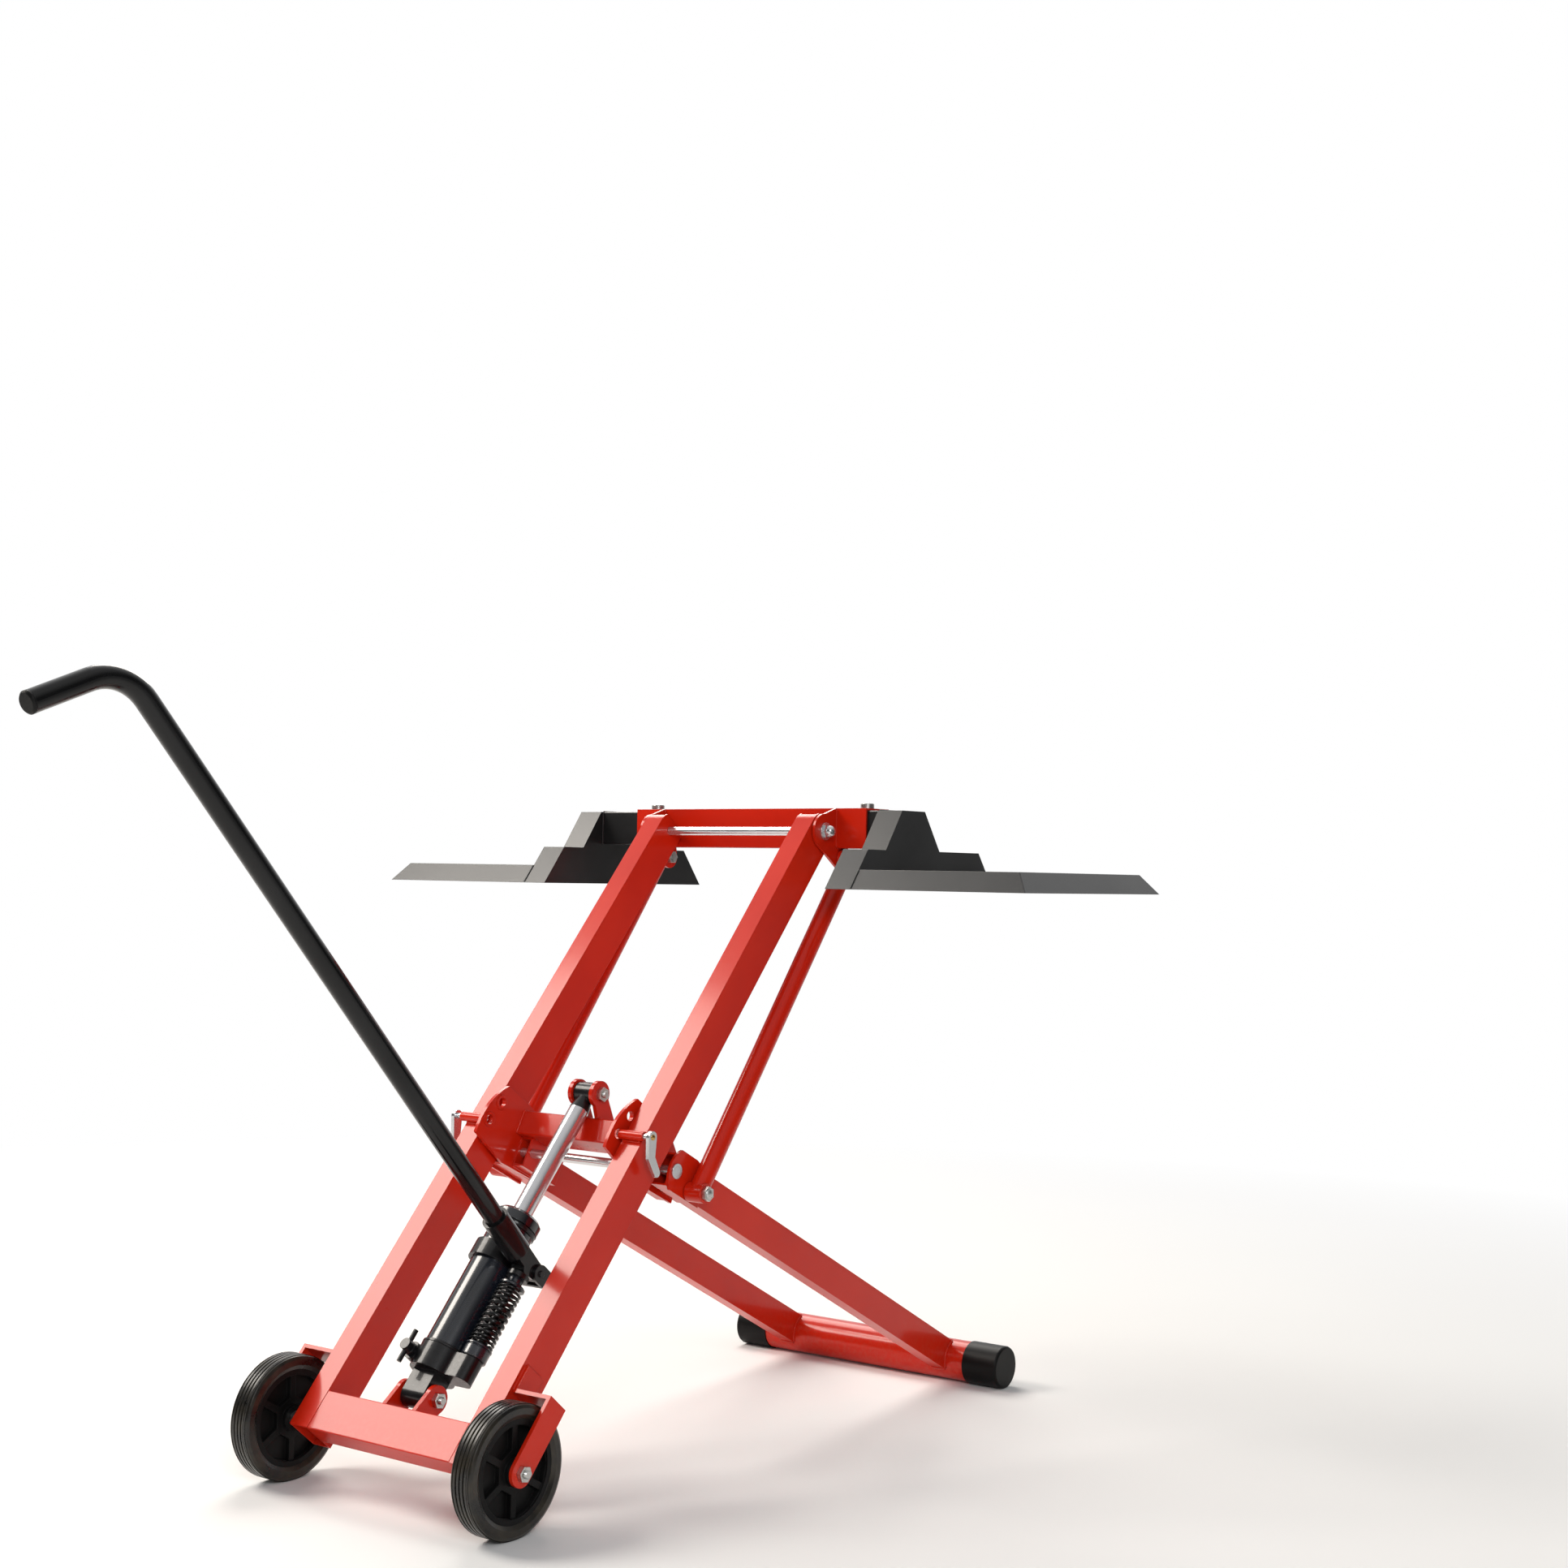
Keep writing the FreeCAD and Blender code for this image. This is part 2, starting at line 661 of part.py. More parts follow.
plate_x0 = head_plate_in
plate_x1 = head_plate_in + head_plate_thick
head_plate = fused(taper((0, 0), head_top_r, (high_y, high_z), head_low_r, plate_x0, plate_x1),
                   slab([(0, head_top_r), (beam_y - side, beam_top), (beam_y - side, -side),
                         (high_y, high_z), (0, 0)], plate_x0, plate_x1),
                   slab([(high_y, high_z), (beam_y - side, beam_z - side), (beam_y, beam_z - side),
                         (high_y + head_low_r, high_z)], plate_x0, plate_x1))
head_plate = head_plate.cut(box(plate_x0 - overrun, plate_x1 + overrun, beam_y - side, beam_y + side,
                                beam_z - side, beam_top + overrun))
head_plate = head_plate.cut(bar_x(shaft_r + running, plate_x0 - overrun, plate_x1 + overrun))
head_plate = head_plate.cut(bar_x(link_bolt_r + running, plate_x0 - overrun, plate_x1 + overrun,
                                  high_y, high_z))
add("head_plates", pair(head_plate), HEAD)

bolt_high = fused(bar_x(link_bolt_r, plate_x0 - bolt_head_high, link_out + bolt_head_high,
                        high_y, high_z),
                  hex_x(bolt_head_r, plate_x0 - bolt_head_high, plate_x0, high_y, high_z),
                  hex_x(bolt_head_r, link_out + seat_gap, link_out + bolt_head_high, high_y, high_z))
add("link_bolts_upper", pair(bolt_high), HEAD)

nut_x0 = plate_x1 + seat_gap + washer_thick
top_shaft = bar_x(shaft_r, -nut_x0 - nut_high / 2, nut_x0 + nut_high / 2)
washer = bar_x(washer_r, plate_x1 + seat_gap, nut_x0)
nut = fused(washer, domed_nut(nut_r, nut_x0, nut_high, 1))
nut = nut.cut(bar_x(shaft_r, plate_x1 - overrun, nut_x0 + nut_high / 2))
add("top_shaft", Part.makeCompound([top_shaft, mirrored(nut), nut]), HEAD)

arm_half = arm_side / 2
arm_top = beam_z + arm_half
clamp = fused(bar_v(clamp_r, arm_top + seat_gap, beam_top + bolt_head_high, clamp_x, beam_y),
              bar_v(bolt_head_r, beam_top, beam_top + bolt_head_high, clamp_x, beam_y))
add("clamp_bolts", pair(clamp), HEAD)

# ---- trays: an arm, a saddle and three sloping bars each ----


def tray(tag, inner_x, span, flip):
    low, foot_x = inner_x, inner_x + bracket_wide
    far = foot_x + span
    arm = tube_x(low - arm_long, low, beam_y - arm_half, beam_y + arm_half,
                 beam_z - arm_half, arm_top, arm_wall)
    line = [(tray_front, tray_low_z), (tray_front + step_run, tray_step_z),
            (saddle_y0 - saddle_run, tray_step_z), (saddle_y0, arm_top), (saddle_y1, arm_top),
            (saddle_y1 + saddle_run, tray_step_z), (tray_rear - step_run, tray_step_z),
            (tray_rear, tray_low_z)]
    skin = slab(line, low, foot_x)
    ring = [V(low, u, v) for u, v in line]
    wire = Part.makePolygon(ring + ring[:1])
    inner = Part.Face(wire).makeOffset2D(-bracket_wall).extrude(V(bracket_wide, 0, 0))
    inner.translate(V(bracket_wall, 0, 0))
    inner = inner.common(box(low + bracket_wall, foot_x - bracket_wall, tray_front, tray_rear,
                             tray_low_z, arm_top))
    mouth = box(low + bracket_wall, foot_x - bracket_wall, tray_front + bracket_wall * 2,
                tray_rear - bracket_wall * 2, tray_low_z - overrun, tray_low_z + bracket_wall * 2)
    bracket = skin.cut(inner).cut(mouth)
    run = strip_high * step_run / (tray_step_z - tray_low_z)
    top_z = tray_low_z + strip_high

    def frustum(x0, gap):
        rings = []
        for z, inset in ((tray_low_z, 0), (top_z, run)):
            lo, hi = tray_front + inset + gap, tray_rear - inset - gap
            edge_x = far - inset - gap
            pts = [V(x0, lo, z), V(edge_x, lo, z), V(edge_x, hi, z), V(x0, hi, z)]
            rings.append(Part.makePolygon(pts + pts[:1]))
        return Part.makeLoft(rings, True, True)
    hip = frustum(foot_x, 0).cut(frustum(foot_x - overrun, strip_thick * 1.3))
    reach = run + strip_thick * 3
    corner_lo, corner_hi = (far, tray_front), (far, tray_rear)

    def wedge(pts):
        ring = [V(x, y, tray_low_z - overrun) for x, y in pts]
        face = Part.Face(Part.makePolygon(ring + ring[:1]))
        return face.extrude(V(0, 0, strip_high + overrun * 2))
    front = wedge([(foot_x, tray_front), corner_lo, (far - reach, tray_front + reach),
                   (foot_x, tray_front + reach)])
    rear = wedge([(foot_x, tray_rear), corner_hi, (far - reach, tray_rear - reach),
                  (foot_x, tray_rear - reach)])
    outer = wedge([corner_lo, corner_hi, (far - reach, tray_rear - reach),
                   (far - reach, tray_front + reach)])
    pieces = (("arm", arm), ("bracket", bracket), ("front_bar", hip.common(front)),
              ("rear_bar", hip.common(rear)), ("outer_bar", hip.common(outer)))
    for name, shape in pieces:
        add("tray_" + name + "_" + tag, mirrored(shape) if flip else shape, HEAD)


tray("right", tray_right_x, right_span, False)
tray("left", tray_left_x, left_span, True)

# ---- jack: base casting, tube, head and ram ----

jack_long = (ram_at - ear_at).Length
base = fused(bar_x(tongue_r, -tongue_half, tongue_half),
             box(-tongue_half, tongue_half, 0, base_low_u + overrun, -tongue_r, tongue_r),
             bar_u(base_r, base_low_u, base_high_u),
             bar_u(pump_base_r, base_low_u, base_high_u, pump_x, pump_v),
             box(0, pump_x, base_low_u, base_high_u, pump_v - pump_base_r, pump_v + pump_base_r),
             bar_v(gland_r, 0, valve_r + base_r / 2 + gland_high, valve_x, valve_u))
base = base.cut(bar_x(base_bolt_r + running, -tongue_half - overrun, tongue_half + overrun))
valve_seat = base_r / 2
base = base.cut(bar_v(valve_r + running, valve_seat - seat_gap, base_r + overrun, valve_x, valve_u))
add("jack_base", base, JACK)

body = bar_u(jack_body_r, base_high_u, tube_top_u)
add("reservoir_tube", body.cut(bar_u(jack_bore_r, 0, jack_long)), JACK)

cap_edges = [Part.makeLine(V(head_bore_r, tube_top_u, 0), V(head_r, tube_top_u, 0)),
             Part.makeLine(V(head_r, tube_top_u, 0), V(head_r, head_top_u - head_round, 0)),
             Part.makeLine(V(head_r, head_top_u - head_round, 0),
                           V(head_r - head_round, head_top_u, 0)),
             Part.makeLine(V(head_r - head_round, head_top_u, 0), V(head_bore_r, head_top_u, 0)),
             Part.makeLine(V(head_bore_r, head_top_u, 0), V(head_bore_r, tube_top_u, 0))]
head = Part.Face(Part.Wire(cap_edges)).revolve(V(0, 0, 0), V(0, 1, 0), 360)
add("cylinder_head", head, JACK)

fork_out = fork_in + fork_thick
ring_low = fulcrum_u - clamp_ring_half
ring_high = fulcrum_u + clamp_ring_half
lug_back = fulcrum_v - fork_round - fork_thick
bracket = bar_u(clamp_ring_r, ring_low, ring_high)
bracket = fused(bracket,
                box(jack_body_r / 3, pump_x + fork_out, ring_low, ring_high, lug_back,
                    fulcrum_v - fork_round))
for x0 in (pump_x - fork_out, pump_x + fork_in):
    arm = fused(box(x0, x0 + fork_thick, ring_low, ring_high, lug_back, fulcrum_v),
                bar_x(fork_round, x0, x0 + fork_thick, fulcrum_u, fulcrum_v))
    bracket = bracket.fuse(arm)
bracket = bracket.removeSplitter().cut(bar_u(jack_body_r, ring_low - overrun, ring_high + overrun))
bracket = bracket.cut(box(jack_body_r + seat_gap, clamp_ring_r + overrun, ring_low - overrun,
                          ring_high + overrun, fulcrum_v + fork_round + seat_gap, clamp_ring_r))
bracket = bracket.cut(bar_x(fulcrum_r, pump_x - fork_out - overrun, pump_x + fork_out + overrun,
                            fulcrum_u, fulcrum_v))
socket_pin = bar_x(fulcrum_r, pump_x - fork_out, pump_x + fork_out + fork_thick / 2,
                   fulcrum_u, fulcrum_v)
add("socket_bracket", Part.makeCompound([bracket, socket_pin]), JACK)

stem = fused(bar_v(valve_r, valve_seat, valve_top_v, valve_x, valve_u),
             bar_u(valve_bar_r, valve_u - valve_bar_half, valve_u + valve_bar_half, valve_x,
                   valve_top_v - valve_bar_r * 2))
add("release_valve", stem, JACK)

add("ram_rod", bar_u(ram_r, ram_bottom_u, ram_top_u), JACK)
neck_u = jack_long - eye_r * 0.7
neck = Part.makeCone(ram_r + seat_gap, eye_r * 0.7, neck_u - ram_top_u, V(0, ram_top_u, 0), V(0, 1, 0))
eye = fused(neck, bar_x(eye_r, -eye_half, eye_half, jack_long))
eye = eye.cut(bar_x(base_bolt_r + running, -eye_half - overrun, eye_half + overrun, jack_long))
add("ram_eye", eye, JACK)

# ---- pump: barrel, sprung piston and the socket for the handle ----

flange_top = base_high_u + flange_high
barrel = fused(bar_u(pump_base_r, base_high_u, flange_top, pump_x, pump_v),
               bar_u(barrel_r, base_high_u, base_high_u + barrel_high, pump_x, pump_v))
barrel = barrel.cut(bar_u(piston_r + running, base_high_u + seat_gap, base_high_u + barrel_high + overrun,
                          pump_x, pump_v))
add("pump_barrel", barrel, JACK)
cap_low = piston_top_u - piston_cap_high
piston = fused(bar_u(piston_r, base_high_u + piston_low, piston_top_u, pump_x, pump_v),
               bar_u(piston_cap_r, cap_low, piston_top_u, pump_x, pump_v))
add("pump_piston", piston, JACK)


def arc_from(a, heading_a, b):
    # the arc that leaves a along its heading and ends at b
    chord = b - a
    long = chord.Length
    along = chord * (1 / long)
    lean = along.getAngle(heading_a)
    side = heading_a - along * heading_a.dot(along)
    side.normalize()
    mid = a + chord * 0.5 + side * (long / 2 * math.tan(lean / 2))
    return Part.Arc(a, mid, b).toShape()


def coil(radius, wire, low, high, turns, x, v):
    # one unbroken wire: a helix in half turns, each of two tangent arcs
    rise = (high - low) / turns
    stations = 2 * turns
    slope = rise / (2 * math.pi)
    pts, dirs = [], []
    for k in range(stations + 1):
        a = math.pi * k
        pts.append(V(x + radius * math.cos(a), low + rise * k / 2, v + radius * math.sin(a)))
        d = V(-radius * math.sin(a), slope, radius * math.cos(a))
        d.normalize()
        dirs.append(d)
    edges = [Part.makeLine(pts[0] - dirs[0] * (2 * wire), pts[0])]
    for k in range(stations):
        a, b, t0, t1 = pts[k], pts[k + 1], dirs[k], dirs[k + 1]
        chord = b - a
        both = t0 + t1
        qa = 2 * (t0.dot(t1) - 1)
        qb = -2 * chord.dot(both)
        qc = chord.dot(chord)
        reach = (-qb - math.sqrt(qb * qb - 4 * qa * qc)) / (2 * qa)
        if reach < 0:
            reach = (-qb + math.sqrt(qb * qb - 4 * qa * qc)) / (2 * qa)
        joint = (a + t0 * reach + b - t1 * reach) * 0.5
        edges.append(arc_from(a, t0, joint))
        turn = (b - t1 * reach) - joint
        turn.normalize()
        edges.append(arc_from(joint, turn, b))
    edges.append(Part.makeLine(pts[-1], pts[-1] + dirs[-1] * (2 * wire)))
    path = Part.Wire(edges)
    ring = Part.Wire([Part.makeCircle(wire, pts[0] - dirs[0] * (2 * wire), dirs[0])])
    print("coil gap", round(rise * math.cos(math.atan(slope / radius)) - 2 * wire, 3))
    return path.makePipeShell([ring], True, False)


spring_low = flange_top + seat_gap + wire_r * 1.2
spring_high = cap_low - seat_gap - wire_r * 1.2
spring = coil(coil_r, wire_r, spring_low, spring_high, coil_turns, pump_x, pump_v)
add("pump_spring", spring, JACK)

fulcrum_at = JACK.multVec(V(pump_x, fulcrum_u, fulcrum_v))
bend_at = V(pump_x, handle_bend_y, handle_bend_z)
tip_at = V(pump_x, handle_bend_y - handle_grip_reach, handle_bend_z - handle_grip_drop)
handle_turn = heading(fulcrum_at, bend_at)
SOCKET = frame_at(fulcrum_at.y, fulcrum_at.z, handle_turn)
cheek_half = fork_in - seat_gap
cam_point = JACK.multVec(V(pump_x, piston_top_u + seat_gap + cam_r, pump_v))
cam_local = SOCKET.inverse().multVec(cam_point)
socket_end = socket_start + socket_long
socket = fused(bar_x(fork_round - seat_gap, pump_x - cheek_half, pump_x + cheek_half),
               bar_x(cam_r, pump_x - cheek_half, pump_x + cheek_half, cam_local.y, cam_local.z),
               slab([(0, -fork_round + seat_gap * 2), (0, fork_round - seat_gap * 2),
                     (cam_local.y, cam_local.z + cam_r * 0.9), (cam_local.y, cam_local.z - cam_r * 0.9)]
                    if cam_local.y > 0 else
                    [(0, 0), (cam_local.y, cam_local.z), (socket_start, 0)],
                    pump_x - cheek_half, pump_x + cheek_half),
               box(pump_x - cheek_half, pump_x + cheek_half, 0, socket_start + overrun,
                   -fork_round + seat_gap * 2, fork_round - seat_gap * 2),
               bar_u(socket_r, socket_start, socket_end, pump_x))
socket = socket.cut(bar_u(handle_r + handle_fit, handle_inset - seat_gap, socket_end + overrun, pump_x))
socket = socket.cut(bar_x(fulcrum_r + running, pump_x - fork_out, pump_x + fork_out))
add("handle_socket", socket, SOCKET)

# ---- handle: one bent tube with a plug in its grip end ----

run_dir = bend_at - fulcrum_at
run_dir.normalize()
grip_dir = tip_at - bend_at
grip_dir.normalize()
bend_turn = run_dir.getAngle(grip_dir)
tangent = handle_bend_r * math.tan(bend_turn / 2)
start = fulcrum_at + run_dir * handle_inset
arc_a = bend_at - run_dir * tangent
arc_b = bend_at + grip_dir * tangent
path = Part.Wire([Part.makeLine(start, arc_a), arc_from(arc_a, run_dir, arc_b),
                  Part.makeLine(arc_b, tip_at)])


def along_path(r):
    ring = Part.Wire([Part.makeCircle(r, start, run_dir)])
    return path.makePipeShell([ring], True, False)


parts["handle"] = along_path(handle_r).cut(along_path(handle_r - handle_wall))
plug_line = [(0, 0), (0, handle_r - handle_wall), (0, handle_r), (handle_wall, handle_r),
             (handle_wall * 2, handle_r - handle_wall), (handle_wall * 2, 0)]
ring = [V(pump_x, a, b) for a, b in plug_line]
plug = Part.Face(Part.makePolygon(ring + ring[:1])).revolve(V(pump_x, 0, 0), V(0, 1, 0), 360)
parts["handle_plug"] = place(plug, frame_at(tip_at.y, tip_at.z, heading(bend_at, tip_at)))

# ---- origin under the middle of the whole lift, on the floor ----

whole = FreeCAD.BoundBox()
for shape in parts.values():
    whole.add(shape.optimalBoundingBox(True, False))
shift = V(-(whole.XMin + whole.XMax) / 2, -(whole.YMin + whole.YMax) / 2, -whole.ZMin)
os.makedirs("parts", exist_ok=True)
for name, shape in parts.items():
    moved = shape.copy()
    moved.Placement = FreeCAD.Placement(shift, FreeCAD.Rotation()).multiply(shape.Placement)
    if len(moved.Solids) == 0 or not moved.isValid():
        print("CHECK", name, len(moved.Solids), moved.isValid())
    moved.exportStep("parts/" + name + ".step")

for name, at in (("shift", shift), ("axle", V(0, 0, wheel_r) + shift), ("pivot", pivot_at + shift),
                 ("top", top_at + shift), ("ear", ear_at + shift), ("ram", ram_at + shift),
                 ("low", low_at + shift), ("high", high_at + shift),
                 ("fulcrum", fulcrum_at + shift), ("rail_dir", rail_dir), ("rail_up", rail_up),
                 ("jack_dir", JACK.Rotation.multVec(V(0, 1, 0))),
                 ("jack_up", JACK.Rotation.multVec(V(0, 0, 1))), ("handle_dir", run_dir),
                 ("valve", JACK.multVec(V(valve_x, valve_u, valve_top_v)) + shift),
                 ("hole_a", on_leg(*on_disc(hole_r, hole_turn)) + shift),
                 ("hole_b", on_leg(*on_disc(hole_r, hole_turn - math.radians(lock_hole_angle))) + shift),
                 ("spring_low", JACK.multVec(V(pump_x, flange_top, pump_v)) + shift),
                 ("size", V(whole.XLength, whole.YLength, whole.ZLength))):
    print(name, round(at.x, 4), round(at.y, 4), round(at.z, 4))
print("links", round(link_long, 3), "jack", round(jack_long, 3), "pieces", len(parts))
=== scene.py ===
import bpy, bmesh, json, math
from mathutils import Matrix, Vector


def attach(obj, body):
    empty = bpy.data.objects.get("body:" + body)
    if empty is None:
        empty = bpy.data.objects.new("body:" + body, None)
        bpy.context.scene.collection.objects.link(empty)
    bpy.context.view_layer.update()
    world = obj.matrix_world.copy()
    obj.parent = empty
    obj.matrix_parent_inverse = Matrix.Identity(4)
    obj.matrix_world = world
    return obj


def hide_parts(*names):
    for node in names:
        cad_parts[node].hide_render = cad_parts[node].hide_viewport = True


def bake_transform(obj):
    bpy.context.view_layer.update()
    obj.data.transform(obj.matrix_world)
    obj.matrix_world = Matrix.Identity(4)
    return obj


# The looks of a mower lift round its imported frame: finishes, rounded tube corners, the jack's
# return spring, weld beads and turned details, then the photograph's camera and light.
# Sizes on the lift are in millimetres, and are the source's where a detail sits on a solid.

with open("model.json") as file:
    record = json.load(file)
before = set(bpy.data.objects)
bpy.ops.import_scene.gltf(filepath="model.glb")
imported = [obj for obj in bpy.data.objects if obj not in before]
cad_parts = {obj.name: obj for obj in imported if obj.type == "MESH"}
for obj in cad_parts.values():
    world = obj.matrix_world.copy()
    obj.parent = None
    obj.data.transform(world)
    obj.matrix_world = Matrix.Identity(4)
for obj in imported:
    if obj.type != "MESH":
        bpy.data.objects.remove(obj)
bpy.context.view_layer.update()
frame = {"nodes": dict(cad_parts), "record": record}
nodes = frame["nodes"]
behaviour = frame["record"]["behaviour"]
body_of_node = {node: body for body, owned in behaviour["bodies"].items() for node in owned}
joints = {joint["name"]: joint for joint in behaviour["joints"]}
MM = 0.001
ACROSS = Vector((1, 0, 0))


def joint_place(name):
    return Vector(joints[name]["pos_m"])


# The camera was solved in a frame with its origin on the floor under the wheels.
axle = joint_place("wheel_right_spin")
ORIGIN = Vector((axle.x, axle.y, 0.0))


# ---------- shader maths ----------

class Wire:
    """A socket's value; a sum or product with it adds a Math node."""

    def __init__(self, graph, socket):
        self.graph, self.socket = graph, socket

    def _math(self, operation, other):
        return self.graph.node("ShaderNodeMath", {"operation": operation}, {0: self, 1: other})

    def __add__(self, other):
        return self._math("ADD", other)

    def __mul__(self, other):
        return self._math("MULTIPLY", other)


class Graph:
    """A shader tree that is built up node by node."""

    def __init__(self, tree):
        self.tree = tree

    def link(self, wire, socket):
        self.tree.links.new(wire.socket, socket)

    def node(self, kind, settings=None, values=None, out=0):
        made = self.tree.nodes.new(kind)
        for key, value in (settings or {}).items():
            setattr(made, key, value)
        for key, value in (values or {}).items():
            if isinstance(value, Wire):
                self.link(value, made.inputs[key])
            else:
                made.inputs[key].default_value = value
        return Wire(self, made.outputs[out])

    def ramp(self, value, low, high, dark=0.0, light=1.0):
        """Maps low..high onto dark..light, and holds it there beyond."""
        return self.node("ShaderNodeMapRange", {"clamp": True},
                         {"Value": value, "From Min": low, "From Max": high, "To Min": dark,
                          "To Max": light}, out="Result")


class Paint(Graph):
    """A procedural finish on one Principled shader, placed by object coordinates."""

    MIX_FACTOR, MIX_A, MIX_B, MIX_RESULT = 0, 6, 7, 2    # the Mix node's sockets for colours

    def __init__(self, name, **constant):
        self.material = bpy.data.materials.new(name)
        self.material.use_nodes = True
        super().__init__(self.material.node_tree)
        self.shader = self.found("BSDF_PRINCIPLED")
        for key, value in constant.items():
            self.shader.inputs[key.replace("_", " ")].default_value = value
        self.place = self.node("ShaderNodeTexCoord", out="Object")

    def found(self, kind):
        """One of the two nodes that a new material starts with."""
        return next(n for n in self.tree.nodes if n.type == kind)

    def noise(self, scale, detail, rough=0.5, where=None):
        return self.node("ShaderNodeTexNoise", {"noise_dimensions": "3D"},
                         {"Vector": where or self.place, "Scale": scale, "Detail": detail,
                          "Roughness": rough}, out="Fac")

    def stretched(self, x, y, z):
        return self.node("ShaderNodeMapping", None, {"Vector": self.place, "Scale": (x, y, z)})

    def height(self):
        return self.node("ShaderNodeSeparateXYZ", None, {"Vector": self.place}, out="Z")

    def mix(self, factor, a, b):
        """Lays plain colour b over a, which may be a mix already."""
        a = a if isinstance(a, Wire) else (*a, 1)
        return self.node("ShaderNodeMix", {"data_type": "RGBA"},
                         {self.MIX_FACTOR: factor, self.MIX_A: a, self.MIX_B: (*b, 1)},
                         out=self.MIX_RESULT)

    def shades(self, cloud, dark, light, low=0.35, high=0.65):
        """Two close shades in soft patches."""
        return self.mix(self.ramp(cloud, low, high), dark, light)

    def sheen(self, cloud, least, most):
        """A roughness that wanders between two values."""
        return self.ramp(cloud, 0.3, 0.7, least, most)

    def finish(self, colour, rough, relief, *, strength, distance, radius):
        """Joins it up: strength and distance are the bump's, radius softens the edges."""
        edge = self.node("ShaderNodeBevel", {"samples": 4}, {"Radius": radius})
        bent = self.node("ShaderNodeBump", None,
                         {"Strength": strength, "Distance": distance, "Height": relief,
                          "Normal": edge})
        for key, wire in (("Base Color", colour), ("Roughness", rough), ("Normal", bent)):
            self.link(wire, self.shader.inputs[key])
        return self.material


# ---------- finishes ----------

def red_enamel():
    p = Paint("red_enamel", Coat_Weight=0.46, Coat_Roughness=0.12, IOR=1.5,
              Specular_IOR_Level=0.08)
    broad = p.noise(5.0, 3.0)
    fine = p.noise(160.0, 4.0, 0.6)
    peel = p.noise(420.0, 2.0, 0.4)
    chips = p.ramp(p.noise(55.0, 6.0, 0.72), 0.735, 0.76)
    low_dust = p.ramp(p.height(), 0.12, 0.0) * p.ramp(fine, 0.42, 0.7, 0.0, 0.35)
    chipped, dusty = (0.30, 0.012, 0.010), (0.42, 0.17, 0.11)
    base = p.shades(broad, (0.54, 0.013, 0.003), (0.62, 0.019, 0.004))
    base = p.mix(chips * 0.35, base, chipped)
    base = p.mix(low_dust * 0.5, base, dusty)
    rough = p.sheen(broad, 0.24, 0.34) + fine * 0.06 + chips * 0.2
    return p.finish(base, rough, peel + fine * 0.3, strength=0.05, distance=0.0004, radius=0.0014)


def black_enamel():
    p = Paint("black_enamel", Coat_Weight=0.30, Coat_Roughness=0.05, Specular_IOR_Level=0.16)
    broad = p.noise(9.0, 3.0)
    fine = p.noise(240.0, 4.0, 0.6)
    peel = p.noise(520.0, 2.0, 0.4)
    rub = p.ramp(p.noise(70.0, 6.0, 0.75), 0.70, 0.76)
    rubbed = (0.055, 0.054, 0.052)
    base = p.shades(broad, (0.004, 0.004, 0.0042), (0.009, 0.009, 0.0095))
    base = p.mix(rub * 0.5, base, rubbed)
    rough = p.sheen(broad, 0.12, 0.18) + fine * 0.05 + rub * 0.12
    return p.finish(base, rough, peel + fine * 0.5, strength=0.03, distance=0.0003, radius=0.0012)


def gloss_black():
    p = Paint("gloss_black", Coat_Weight=0.6, Coat_Roughness=0.06, Specular_IOR_Level=0.5)
    broad = p.noise(14.0, 3.0)
    fine = p.noise(300.0, 4.0, 0.6)
    base = p.shades(broad, (0.004, 0.005, 0.008), (0.008, 0.011, 0.018))
    rough = p.sheen(broad, 0.16, 0.26) + fine * 0.05
    return p.finish(base, rough, fine, strength=0.04, distance=0.0003, radius=0.0012)


def tray_powder():
    p = Paint("tray_powder", Coat_Weight=0.45, Coat_Roughness=0.26, Specular_IOR_Level=0.32)
    broad = p.noise(8.0, 3.0)
    grain = p.noise(620.0, 3.0, 0.55)
    scuff = p.ramp(p.noise(48.0, 6.0, 0.74, p.stretched(1.0, 0.35, 1.0)), 0.66, 0.76)
    scuffed = (0.045, 0.043, 0.040)
    base = p.shades(broad, (0.005, 0.005, 0.0054), (0.012, 0.012, 0.0128))
    base = p.mix(scuff * 0.5, base, scuffed)
    rough = p.sheen(broad, 0.30, 0.38) + grain * 0.06 + scuff * 0.1
    return p.finish(base, rough, grain + scuff * 0.4, strength=0.10, distance=0.0003,
                    radius=0.0014)


def cast_black():
    p = Paint("cast_black", Coat_Weight=0.35, Coat_Roughness=0.10, Specular_IOR_Level=0.2)
    grain = p.noise(330.0, 5.0, 0.65)
    broad = p.noise(40.0, 4.0, 0.6)
    base = p.shades(broad, (0.003, 0.003, 0.0034), (0.008, 0.008, 0.009), 0.3, 0.7)
    rough = p.sheen(grain, 0.26, 0.40)
    return p.finish(base, rough, grain + broad * 0.7, strength=0.20, distance=0.0007,
                    radius=0.0018)


def chrome():
    p = Paint("hard_chrome", Metallic=0.86)
    turned = p.noise(60.0, 4.0, 0.6, p.stretched(30.0, 1.0, 1.0))
    haze = p.noise(12.0, 3.0)
    base = p.shades(haze, (0.60, 0.61, 0.63), (0.70, 0.70, 0.71))
    rough = p.sheen(haze, 0.13, 0.20) + turned * 0.05
    return p.finish(base, rough, turned, strength=0.02, distance=0.0002, radius=0.0008)


def zinc():
    p = Paint("zinc_plate", Metallic=1.0)
    spangle = p.node("ShaderNodeTexVoronoi", {"feature": "F1"},
                     {"Vector": p.place, "Scale": 900.0}, out="Distance")
    haze = p.noise(180.0, 4.0, 0.6)
    base = p.shades(haze, (0.50, 0.50, 0.48), (0.68, 0.68, 0.66), high=0.7)
    rough = p.sheen(haze, 0.24, 0.40)
    return p.finish(base, rough, spangle + haze, strength=0.05, distance=0.0002, radius=0.0008)


